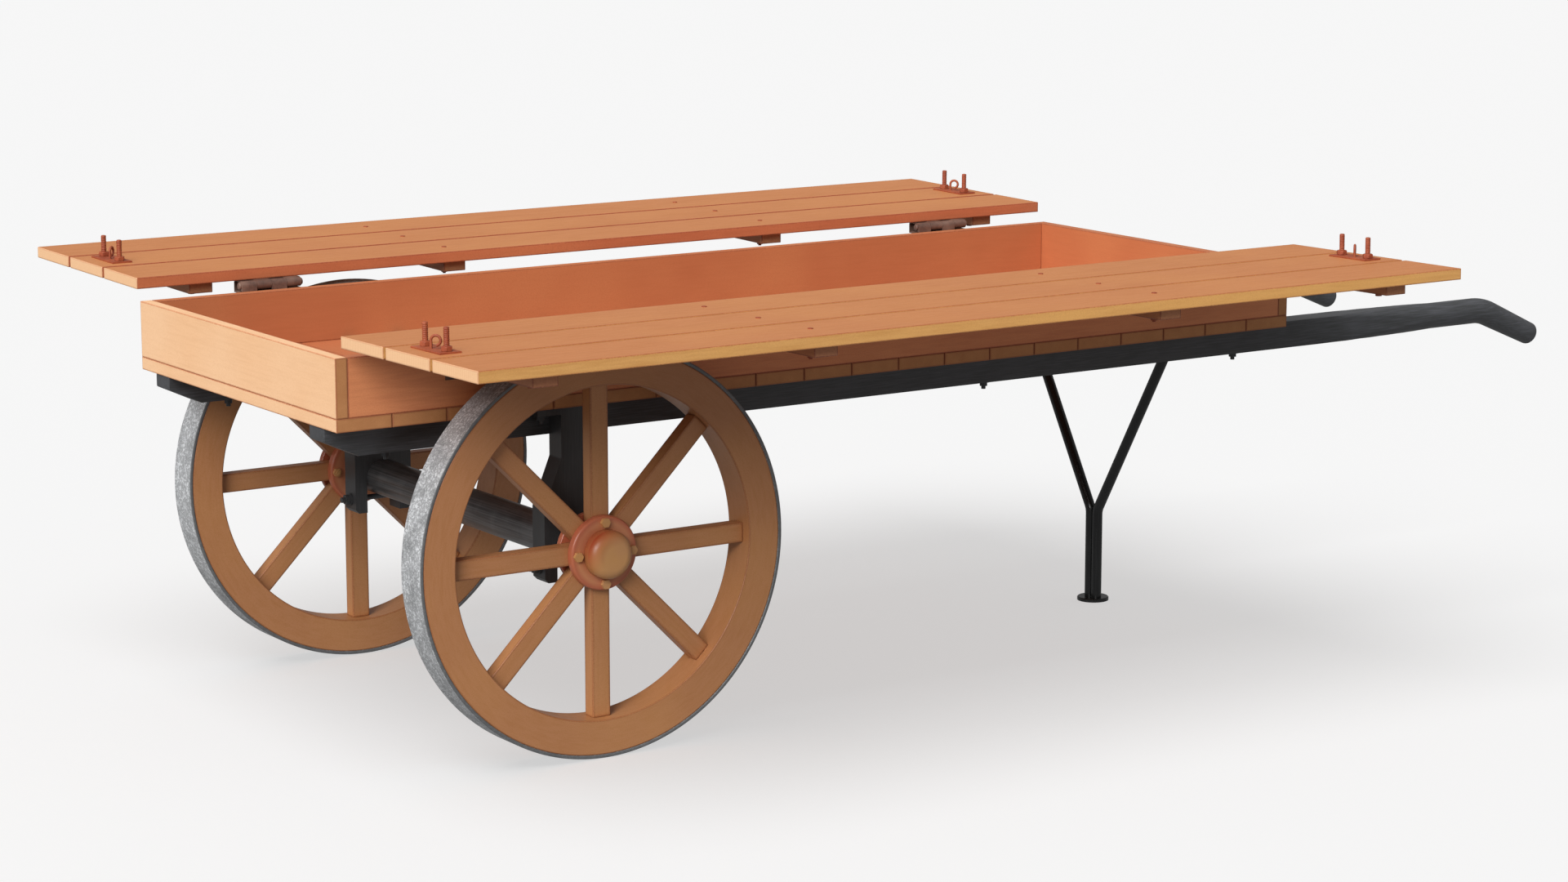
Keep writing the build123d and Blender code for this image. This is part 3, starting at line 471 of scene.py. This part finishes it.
class BarrowStage(bpy.types.PropertyGroup):
    """Camera and light."""

    camera_place: FloatVectorProperty(
        name="Camera", description="Where the camera stands", default=(-3.9828, -5.5917, 1.6551),
        unit="LENGTH")
    camera_turn: FloatProperty(
        name="Camera turn", description="Direction of view, from +Y", default=radians(-33.695),
        subtype="ANGLE")
    camera_dip: FloatProperty(
        name="Camera dip", description="How far the view looks down", default=radians(10.618),
        subtype="ANGLE")
    lens: FloatProperty(name="Lens", description="Focal length in millimetres", default=84.756)
    sky: FloatProperty(name="Sky", description="Strength of the even light from above", default=0.26)
    ground: FloatProperty(name="Ground", description="Strength of the even light from below", default=0.27)
    backdrop: FloatProperty(name="Backdrop", description="Brightness behind the object", default=0.93)
    top_light: FloatProperty(name="Top light", description="Strength of the light overhead", default=1.75)
    key_light: FloatProperty(
        name="Key light", description="Strength of the light from the front", default=2.8)
    floor_glow: FloatProperty(name="Floor glow", description="Light given off by the floor", default=0.545)


def settings():
    """The three groups of settings on the scene."""
    scene = bpy.context.scene
    return scene.barrow_sizes, scene.barrow_colours, scene.barrow_stage


# ---------------------------------------------------------------- operators

class BarrowFinishes(bpy.types.Operator):
    """Makes every finish, and gives the CAD nodes that stay theirs"""

    bl_idname = "barrow.finishes"
    bl_label = "Finishes"

    def execute(self, context):
        _, tones, _ = settings()
        planed_wood("oiled_pine_leaf_face", tones.leaf_face, "#b16b34", "#94492a", "#c88650", (0.48, 0.6))
        # the leaf's edges take copies of its face: painted light on the outer edge, painted shade on the inner one
        planed_wood(
            "oiled_pine_painted_light_outer_edges", tones.leaf_outer, "#c88c49", "#b47041", "#e8ae61", (0.45, 0.58))
        planed_wood(
            "oiled_pine_painted_shade_inner_edges", tones.leaf_inner, "#b0603c", "#96492f", "#cf8154", (0.45, 0.58))
        # the tray's inside, front and sides are copies of one oiled pine: painted shade inside, painted light on
        # the front and on the sides
        planed_wood("oiled_pine_painted_shade_inside", tones.tray_inside, "#b26740", "#945133", "#c88052", (0.5, 0.62))
        planed_wood("oiled_pine_painted_light_front", tones.tray_front, "#e4b082", "#bf764e", "#f5cba2", (0.5, 0.62))
        planed_wood("oiled_pine_painted_light_sides", tones.tray_side, "#c8764c", "#a65237", "#e89966", (0.5, 0.62))
        planed_wood("oiled_pine_batten", "#bf815b", "#a96d4b", "#8d4d36", "#cb9264", (0.5, 0.62))
        planed_wood("varnished_ash_wheel", tones.wheel, "#ac7241", "#9a613c", "#c78e58", (0.38, 0.5))
        # two copies of one sawn end: the paler one, painted light, for the leaf planks' ends; the darker one,
        # painted shade, for the tray boards' ends
        sawn_end("sawn_pine_painted_light_end", "#f0c397", "#dca676", "#c38a63")
        sawn_end("sawn_pine_painted_shade_end", "#c28755", "#a96e40", "#8c4b30")
        brushed_black("brushed_black_paint_along", tones.black, "#525358", (0.04, 1, 1), (0.34, 0.5))
        brushed_black("brushed_black_paint_upright", tones.black, "#464749", (1, 1, 0.05), (0.32, 0.48))
        brushed_black("gloss_black_enamel_rod", "#121213", "#262728", (1, 1, 0.05), (0.2, 0.3))
        # the axle's pale streaks along the bar are painted highlights over its fine turning lines
        brushed_black("turned_steel_with_painted_highlights", "#545455", "#9e9e9f", (1, 0.012, 1), (0.3, 0.42),
                      metal=0.6, streak=0.45)
        brushed_black("machined_steel", "#77777a", "#a5a5a8", (1, 0.2, 1), (0.3, 0.42), metal=0.9)
        galvanised("galvanised_steel_tyre", "#a7a8aa", "#f4f6f8", "#626364")
        old_iron("rusted_iron", tones.rust, "#712e1b", "#aa5a36", (0.52, 0.7), 5 * MM)
        old_iron("red_brown_forged_iron", "#6a4d42", "#40332e", "#876b5d", (0.38, 0.55), 8 * MM)
        rubbed_enamel("red_brown_enamel", "#c37c58", "#b55f43", "#cf9062", (0.3, 0.42))
        rubbed_enamel("tan_enamel", "#c5905f", "#9e2e13", "#ca9557", (0.32, 0.44))
        stays = {
            "brushed_black_paint_upright": [
                "axle_fork_left", "axle_fork_right", "shaft_bolts", "fork_bolts", "fork_tie_bolts"],
            "gloss_black_enamel_rod": ["leg_rod_left", "leg_rod_right", "leg_foot_plate"],
            "brushed_black_paint_along": ["leg_cross_bar"],
            "turned_steel_with_painted_highlights": ["axle"],
            "machined_steel": ["wheel_nuts", "wheel_washers"],
            "red_brown_enamel": [f"hub_barrel_{name}" for name, _ in SIDES],
            "tan_enamel": [f"hub_bolts_{name}" for name, _ in SIDES],
            "rusted_iron": [
                f"{node}_{name}" for name, _ in SIDES
                for node in ("stud_plates", "eye_rings", "leaf_fasteners")],
            "red_brown_forged_iron": [
                f"{node}_{name}" for name, _ in SIDES
                for node in ("hinge_frame_plates", "hinge_leaf_plates", "hinge_pins")],
        }
        for finish_name, nodes in stays.items():
            for node in nodes:
                materials = frame["nodes"][node].data.materials
                materials[0] = bpy.data.materials[finish_name]
        return {"FINISHED"}


class BarrowTray(bpy.types.Operator):
    """Makes the floor boards, the end boards and the side boards"""

    bl_idname = "barrow.tray"
    bl_label = "Tray"

    def execute(self, context):
        sizes, _, _ = settings()
        arc, band = sizes.board_arc, sizes.edge_band
        # a floor board runs across, so its u is Z and its v is X: its front edge is the side that faces -X
        # each floor board takes the painted-shade copy, except the first board's front edge, which takes the
        # painted-light one; the sawn ends take the darker sawn end, painted shade
        floor = [
            board(low, high, 1, arc, band, FLOOR_SEED + n, looks=(0, 0, 0, 1 if n == 0 else 0, 2))
            for n, (low, high) in enumerate(solid_boxes("floor_boards"))
        ]
        piece("floor_planking", "chassis", floor,
              ["oiled_pine_painted_shade_inside", "oiled_pine_painted_light_front", "sawn_pine_painted_shade_end"], ["floor_boards"])
        # painted light on an end board's outer face and underside and on the front board's top, painted shade on
        # its inner face and on the rear board's top, and the darker sawn end, painted shade, at its ends
        for end, looks in (("front", (0, 1, 0, 0, 2)), ("rear", (1, 0, 0, 1, 2))):
            low, high = solid_boxes(f"end_board_{end}")[0]
            piece(f"end_panel_{end}", "chassis",
                  [board(low, high, 1, arc, band, END_SEED + looks[1], looks=looks)],
                  ["oiled_pine_painted_light_front", "oiled_pine_painted_shade_inside", "sawn_pine_painted_shade_end"],
                  [f"end_board_{end}"])
        for name, side in SIDES:
            low, high = solid_boxes(f"side_board_{name}")[0]
            # painted light on a side board's outer face and underside, painted shade on its inner face, top and
            # ends
            looks = (0, 1, 1, 0, 1) if side > 0 else (1, 1, 0, 0, 1)
            piece(f"side_panel_{name}", "chassis",
                  [board(low, high, 0, arc, band, SIDE_SEED + side, looks=looks)],
                  ["oiled_pine_painted_light_sides", "oiled_pine_painted_shade_inside"], [f"side_board_{name}"])
        return {"FINISHED"}


class BarrowLeaves(bpy.types.Operator):
    """Makes the planks and the battens of both leaves"""

    bl_idname = "barrow.leaves"
    bl_label = "Leaves"

    def execute(self, context):
        sizes, _, _ = settings()
        arc, band = sizes.board_arc, sizes.edge_band
        for name, side in SIDES:
            pivot, axes = leaf_axes(name, side)
            for k, which in enumerate(("inner", "middle", "outer")):
                node = f"leaf_plank_{which}_{name}"
                low, high = solid_boxes(node, pivot, axes)[0]
                # painted light on each plank's outer edge, painted shade on its inner edge, and the paler sawn
                # end, also painted light, at its ends
                piece(f"leaf_board_{which}_{name}", f"leaf_{name}",
                      [board(low, high, 0, arc, band, PLANK_SEED + 10 * k + side, pivot=pivot, axes=axes,
                             looks=(1, 0, 2, 0, 3))],
                      ["oiled_pine_leaf_face", "oiled_pine_painted_light_outer_edges", "oiled_pine_painted_shade_inner_edges",
                       "sawn_pine_painted_light_end"], [node])
            battens = [
                board(low, high, 1, arc, band, BATTEN_SEED + 10 * k + side, pivot=pivot, axes=axes)
                for k, (low, high) in enumerate(solid_boxes(f"leaf_battens_{name}", pivot, axes))
            ]
            piece(f"leaf_ledges_{name}", f"leaf_{name}", battens, ["oiled_pine_batten"],
                  [f"leaf_battens_{name}"])
        return {"FINISHED"}


class BarrowWheels(bpy.types.Operator):
    """Makes the tyres, the felloes and the spokes"""

    bl_idname = "barrow.wheels"
    bl_label = "Wheels"

    def execute(self, context):
        sizes, _, _ = settings()
        axis = (0, 1, 0)
        rubbed = 1 * MM                                # width of the bare band along the tyre's edges
        felloe_arc, spoke_arc, spoke_band = 2 * MM, 1.6 * MM, 5 * MM
        for name, side in SIDES:
            centre = wheel_centre(name)
            body = f"wheel_{name}"
            low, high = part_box(f"tyre_{name}")
            outer, half = (high.z - low.z) / 2, (high.y - low.y) / 2
            low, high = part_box(f"felloe_{name}")
            rim, rim_half = (high.z - low.z) / 2, (high.y - low.y) / 2
            spokes = solid_boxes(f"spokes_{name}", centre)
            inner = max(box[1][2] for box in spokes)
            profile, _ = rounded_ring(rim, outer, -half, half, sizes.tyre_arc)
            worn = [1.0 if abs(height) > half - rubbed else 0.0 for _, height in profile]
            piece(f"tyre_band_{name}", body,
                  [turned(profile, worn, centre, axis, sizes.ring_steps)],
                  ["galvanised_steel_tyre"], [f"tyre_{name}"])
            profile, worn = rounded_ring(inner, rim, -rim_half, rim_half, felloe_arc)
            piece(f"felloe_ring_{name}", body,
                  [turned(profile, worn, centre, axis, sizes.ring_steps)], ["varnished_ash_wheel"],
                  [f"felloe_{name}"])
            upright = max(spokes, key=lambda box: box[1][2])
            root, half_wide = upright[0][2], (upright[1][0] - upright[0][0]) / 2
            half_thick = (upright[1][1] - upright[0][1]) / 2
            shells = []
            for k in range(len(spokes)):
                turn = 2 * pi * k / len(spokes)
                ray = np.array((cos(turn), 0, sin(turn)))
                across = np.cross(axis, ray)
                spoke = board((root, -half_thick, -half_wide), (inner, half_thick, half_wide), 0,
                              spoke_arc, spoke_band, SPOKE_SEED + k + 10 * side, stretch=12.0,
                              axes=np.array([ray, axis, -across]))
                # the outer end follows the felloe's inner side
                reach, sideways = spoke["points"] @ ray, spoke["points"] @ across
                swell = (np.sqrt(inner ** 2 - sideways ** 2) - inner) * (reach - root) / (inner - root)
                spoke["points"] = spoke["points"] + swell[:, None] * ray + centre
                shells.append(spoke)
            piece(f"spoke_set_{name}", body, shells, ["varnished_ash_wheel"],
                  [f"spokes_{name}"])
        return {"FINISHED"}


class BarrowHubs(bpy.types.Operator):
    """Makes the hub flanges and the domed hub caps"""

    bl_idname = "barrow.hubs"
    bl_label = "Hubs"

    def execute(self, context):
        steps = 96
        soft, bevel, lip = 4.5 * MM, 1 * MM, 3 * MM    # a flange's rim arc, its bevels and its bore's lip
        widest_bore, bore_gap = 28 * MM, 0.05 * MM
        foot_in, foot_up = 0.6 * MM, 0.8 * MM          # chamfer at the cap's foot
        wall, pole = 3.5 * MM, 0.4 * MM                # the cap's wall, and the pinhole at its middle
        arc = np.linspace(0, pi / 2, 7)
        turn = np.linspace(0, pi / 2, 14)
        for name, side in SIDES:
            centre = wheel_centre(name)
            low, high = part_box(f"hub_barrel_{name}")
            bore = min((high.z - low.z) / 2, widest_bore) + bore_gap
            for place, outwards in (("inner", -1), ("outer", 1)):
                node = f"hub_flange_{place}_{name}"
                low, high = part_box(node)
                reach = (high.z - low.z) / 2
                near, far = sorted(side * outwards * (y - centre[1]) for y in (low.y, high.y))
                profile = [(reach - soft + soft * cos(t), far - soft + soft * sin(t)) for t in arc]
                profile += [
                    (reach - 2.6 * soft, far), (bore + lip, far), (bore, far - bevel), (bore, near + bevel),
                    (bore + bevel, near), (reach - bevel, near), (reach, near + bevel),
                ]
                worn = [0.9] * len(arc) + [0.15, 0.8, 1, 1, 1, 1, 1]
                piece(f"hub_plate_{place}_{name}", f"wheel_{name}",
                      [turned(profile, worn, centre, (0, side * outwards, 0), steps)],
                      ["red_brown_enamel"], [node])
            node = f"hub_cap_{name}"
            low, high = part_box(node)
            reach = (high.z - low.z) / 2
            seat, crown = sorted(side * (y - centre[1]) for y in (low.y, high.y))
            dome, flat = 0.55 * (crown - seat), 0.56 * reach
            rim = [(reach - foot_in, seat), (reach, seat + foot_up), (reach, crown - dome)]
            bulge = [(flat + (reach - flat) * cos(t), crown - dome + dome * sin(t)) for t in turn[1:]]
            top = [(0.5 * flat, crown), (pole, crown)]
            hollow = [
                (pole, crown - wall), (flat, crown - wall), (reach - 2.5 * wall, crown - 2.2 * wall),
                (reach - wall, crown - dome - wall), (reach - wall, seat),
            ]
            worn = [0.8] * len(rim) + list(np.linspace(1.0, 0.35, len(bulge)))
            worn += [0.0] * (len(top) + len(hollow))
            # the paint is redder on one side of the cap, a fixed patch that turns with the wheel
            around = np.linspace(0, 2 * pi, steps, endpoint=False)
            grip = 0.25 + 0.75 * np.clip(np.cos(around + pi / 4), 0, 1)
            cap = turned(rim + bulge + top + hollow, np.outer(worn, grip), centre, (0, side, 0), steps)
            piece(f"hub_dome_{name}", f"wheel_{name}", [cap], ["tan_enamel"], [node])
        return {"FINISHED"}


class BarrowStuds(bpy.types.Operator):
    """Makes the threaded studs with their nuts and heads"""

    bl_idname = "barrow.studs"
    bl_label = "Clamp studs"

    def execute(self, context):
        sizes, _, _ = settings()
        pitch, depth = sizes.thread_pitch, sizes.thread_depth
        radius = next(m for m in frame["record"]["mounts"] if m["kind"] == "pin")["dims"]["r_mm"] * MM
        proud = 0.3 * MM                               # the thread's crest beyond the pin's radius
        steps, levels = 24, 6                          # points round a thread, and outlines in one turn of it
        under_nut, run_out, chamfer = 6 * MM, 0.8 * MM, 0.4 * MM
        plate_nut, stud_head = (8 * MM, 8.4 * MM), (6.5 * MM, 7.8 * MM)      # height, and middle to a flat
        shank_radius, shank_down, shank_up = 5 * MM, 14 * MM, 1 * MM
        angle = np.linspace(0, 2 * pi, steps, endpoint=False)
        for name, side in SIDES:
            pivot, axes = leaf_axes(name, side)
            flip = np.linalg.det(axes) < 0
            plate_low, plate_high = solid_boxes(f"stud_plates_{name}", pivot, axes)[0]
            shells = []
            for low, high in solid_boxes(f"clamp_studs_{name}", pivot, axes):
                middle = (low + high) / 2
                start, top = plate_high[2] + under_nut, high[2]
                rise = np.arange(start, top - run_out, pitch / levels)
                height = np.broadcast_to(rise[:, None], (len(rise), steps))
                phase = (height / pitch - angle / (2 * pi)) % 1.0
                reach = radius + proud - depth * np.abs(2 * phase - 1)
                # the thread starts inside the nut and ends in a small chamfer
                ends = np.array([(radius - depth, top - chamfer), (radius - 1.6 * depth, top)])
                reach = np.concatenate([reach, np.repeat(ends[:, :1], steps, 1)])
                height = np.concatenate([height, np.repeat(ends[:, 1:], steps, 1)])
                local = np.stack([
                    middle[0] + reach * np.cos(angle), middle[1] + reach * np.sin(angle), height], -1)
                shells.append(shell(local @ axes + pivot, local, 0.0, flip=flip))
                for base, (tall, across) in ((plate_high[2], plate_nut), (low[2], stud_head)):
                    shells.append(hex_nut(middle[:2], base, base + tall, across, pivot, axes))
                ring = np.stack([
                    middle[0] + shank_radius * np.cos(angle), middle[1] + shank_radius * np.sin(angle)], -1)
                shank = (plate_low[2] - shank_down, plate_high[2] + shank_up)
                local = np.stack([np.concatenate([ring, np.full((steps, 1), z)], -1) for z in shank])
                shells.append(shell(local @ axes + pivot, local, 0.0, flip=flip))
            piece(f"threaded_studs_{name}", f"leaf_{name}", shells, ["rusted_iron"],
                  [f"clamp_studs_{name}"], sharp=50.0)
        return {"FINISHED"}


class BarrowShafts(bpy.types.Operator):
    """Makes the two shafts, square in front, rounded behind the tray and bent down into grips"""

    bl_idname = "barrow.shafts"
    bl_label = "Shafts"

    def execute(self, context):
        tray_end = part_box("end_board_rear")[1].x
        grip, tip, soft = 25 * MM, 22 * MM, 7 * MM     # radius of the grip and of its end, and the end's arc
        bend_at, bend_radius, bend = tray_end + 556 * MM, 110 * MM, radians(23.5)
        grip_length, before_bend = 130 * MM, 60 * MM
        round_from, round_to = tray_end + 110 * MM, tray_end + 440 * MM
        arc_length = bend_radius * bend
        nose = np.array([0, 0.4, 1.5]) * MM            # places of the outlines that round off the front end
        nose_share = [1 - 0.06, 1 - 0.03, 1]           # width at those places, as a share of the bar's
        nose_in, corner_cut, point = 1.5 * MM, 0.9 * MM, 0.01 * MM
        slope_length, slope_rise = 62.3 * MM, 29 * MM  # the underside slopes up at the front
        edge_angle = 0.12                              # half the angle that a worn edge takes up
        turn = np.linspace(0, pi / 2, 7)
        phi = np.linspace(0, 2 * pi, 64, endpoint=False)
        for name, _ in SIDES:
            low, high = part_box(f"shaft_{name}")
            half, middle_y = (high.y - low.y) / 2, (high.y + low.y) / 2
            axis_z = high.z - half
            # distance along the bar for each outline
            straight = np.concatenate([
                low.x + nose, low.x + np.array([20 * MM, 40 * MM, slope_length]),
                np.linspace(low.x + 0.1, round_from, 8), np.linspace(round_from, round_to, 22)[1:],
                [bend_at - before_bend],
            ])
            curve = bend_at + np.linspace(0, arc_length, 13)
            end = bend_at + arc_length + grip_length
            grip_part = np.concatenate([
                np.linspace(curve[-1], end - soft, 7)[1:], end - soft + soft * np.sin(turn[1:])])
            s = np.concatenate([straight, curve, grip_part])
            turned_by = np.clip((s - bend_at) / arc_length, 0, 1) * bend
            past = np.maximum(s - bend_at - arc_length, 0)
            x = np.minimum(s, bend_at) + bend_radius * np.sin(turned_by) + past * cos(bend)
            z = axis_z - bend_radius * (1 - np.cos(turned_by)) - past * sin(bend)
            # the bar is a square held inside a circle, which is clear of its corners up to the rounding
            clear = 1.44 * half
            limit = np.interp(s, [low.x, round_from, round_to, bend_at + arc_length, end],
                              [clear, clear, grip, grip, tip])
            limit[0] -= nose_in
            limit[1 - len(turn):] = tip - soft + soft * np.cos(turn[1:]) + point
            square = half / np.maximum(np.abs(np.cos(phi)), np.abs(np.sin(phi)))
            square = np.minimum(square, half * 2 ** 0.5 - corner_cut)
            shrink = np.interp(s, low.x + nose, nose_share)
            reach = np.minimum(square[None] * shrink[:, None], limit[:, None])
            slope = np.interp(s, [low.x, low.x + slope_length], [1 - slope_rise / (2 * half), 1])
            up = half - (half - reach * np.sin(phi)) * slope[:, None]
            out = reach * np.cos(phi)
            normal = np.stack([np.sin(turned_by), np.zeros_like(s), np.cos(turned_by)], -1)
            points = (np.stack([x, np.full_like(s, middle_y), z], -1)[:, None]
                      + out[..., None] * np.array((0, 1, 0)) + up[..., None] * normal[:, None])
            grain = np.stack([np.broadcast_to(s[:, None] / ALONG_STRETCH, out.shape), out, up], -1)
            edges = np.abs(phi % (pi / 2) - pi / 4) < edge_angle
            worn = np.where(edges[None], np.clip((limit - grip) / (0.2 * half), 0, 1)[:, None], 0.0)
            piece(f"shaft_bar_{name}", "chassis", [shell(points, grain, worn)],
                  ["brushed_black_paint_along"], [f"shaft_{name}"], sharp=30.0)
        return {"FINISHED"}


class BarrowSetting(bpy.types.Operator):
    """Makes the floor, the light and the camera"""

    bl_idname = "barrow.setting"
    bl_label = "Stage"

    def execute(self, context):
        _, _, stage = settings()
        scene = context.scene
        scene.view_settings.view_transform = "Standard"
        tree = blank("matt_white_floor")
        # a lit table: it gives off some light of its own, so that shadows on it stay pale
        scatter = add(tree, "ShaderNodeBsdfDiffuse", {"Color": (0.50, 0.50, 0.50, 1)})
        glow = add(tree, "ShaderNodeEmission", {"Color": (1, 1, 1, 1), "Strength": stage.floor_glow})
        both = add(tree, "ShaderNodeAddShader", {0: scatter, 1: glow})
        add(tree, "ShaderNodeOutputMaterial", {"Surface": both})
        mesh = bpy.data.meshes.new("studio_floor")
        reach = 70.0             # metres from the middle to an edge
        corners = [(-reach, -reach, 0), (reach, -reach, 0), (reach, reach, 0), (-reach, reach, 0)]
        mesh.from_pydata(corners, [], [(0, 1, 2, 3)])
        mesh.materials.append(bpy.data.materials["matt_white_floor"])
        floor = bpy.data.objects.new("studio_floor", mesh)
        # the floor is seen, but sends no light back up into the object
        floor.visible_diffuse = floor.visible_glossy = False
        scene.collection.objects.link(floor)
        world = bpy.data.worlds.new("soft_sky")
        world.use_nodes = True
        tree = world.node_tree
        tree.nodes.clear()
        # the even light changes from the ground's strength to the sky's across the horizon
        height = add(tree, "ShaderNodeSeparateXYZ", {0: add(tree, "ShaderNodeTexCoord", out="Generated")}, 2)
        share = add(tree, "ShaderNodeMapRange", {0: height, 1: -0.15, 2: 0.15, 3: stage.ground, 4: stage.sky})
        # behind the object the sky is as pale as the floor
        seen = add(tree, "ShaderNodeLightPath", out="Is Camera Ray")
        shown = add(tree, "ShaderNodeMapRange", {0: seen, 1: 0.0, 2: 1.0, 3: share, 4: stage.backdrop})
        add(tree, "ShaderNodeOutputWorld", {"Surface": add(tree, "ShaderNodeBackground", {
            "Color": (1, 1, 1, 1), "Strength": shown})})
        scene.world = world
        lights = {}
        for name, towards, strength, spread in (
            ("top_light", (-0.45, -0.15, 1.0), stage.top_light, 50),
            ("key_light", (-0.70, -0.50, 0.54), stage.key_light, 34),
        ):
            lamp = bpy.data.lights.new(name, "SUN")
            lamp.energy, lamp.angle = strength, radians(spread)
            lights[name] = bpy.data.objects.new(name, lamp)
            lights[name].rotation_euler = Vector(towards).to_track_quat("Z", "Y").to_euler()
            scene.collection.objects.link(lights[name])
        # the key light leaves the floor out, so that the floor has the top light's shadow only
        unlit = bpy.data.collections.new("unlit_by_key")
        unlit.objects.link(floor)
        unlit.collection_objects[0].light_linking.link_state = "EXCLUDE"
        lights["key_light"].light_linking.receiver_collection = unlit
        view = bpy.data.cameras.new("camera")
        view.lens, view.sensor_width = stage.lens, 36.0
        camera = bpy.data.objects.new("camera", view)
        turn, dip = stage.camera_turn, stage.camera_dip
        look = Vector((-sin(turn) * cos(dip), cos(turn) * cos(dip), -sin(dip)))
        camera.location = stage.camera_place
        camera.rotation_euler = look.to_track_quat("-Z", "Y").to_euler()
        scene.collection.objects.link(camera)
        scene.camera = camera
        return {"FINISHED"}


class BARROW_PT_panel(bpy.types.Panel):
    """Lists the barrow's steps in the order that they run"""

    bl_label = "Barrow"
    bl_idname = "BARROW_PT_panel"
    bl_space_type = "VIEW_3D"
    bl_region_type = "UI"
    bl_category = "Barrow"

    def draw(self, context):
        for group in settings():
            for key in group.__annotations__:
                self.layout.prop(group, key)
        for step in STEPS:
            self.layout.operator(step.bl_idname)


STEPS = (
    BarrowFinishes, BarrowTray, BarrowLeaves, BarrowWheels, BarrowHubs, BarrowStuds, BarrowShafts,
    BarrowSetting,
)
GROUPS = (("barrow_sizes", BarrowSizes), ("barrow_colours", BarrowColours), ("barrow_stage", BarrowStage))


def register():
    for _, group in GROUPS:
        bpy.utils.register_class(group)
    for step in (*STEPS, BARROW_PT_panel):
        bpy.utils.register_class(step)
    for name, group in GROUPS:
        setattr(bpy.types.Scene, name, PointerProperty(type=group))


def unregister():
    for name, _ in GROUPS:
        delattr(bpy.types.Scene, name)
    for step in (BARROW_PT_panel, *reversed(STEPS)):
        bpy.utils.unregister_class(step)
    for _, group in reversed(GROUPS):
        bpy.utils.unregister_class(group)


def main():
    """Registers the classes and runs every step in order."""
    register()
    bpy.ops.barrow.finishes()
    bpy.ops.barrow.tray()
    bpy.ops.barrow.leaves()
    bpy.ops.barrow.wheels()
    bpy.ops.barrow.hubs()
    bpy.ops.barrow.studs()
    bpy.ops.barrow.shafts()
    bpy.ops.barrow.setting()


if __name__ == "__main__":
    main()
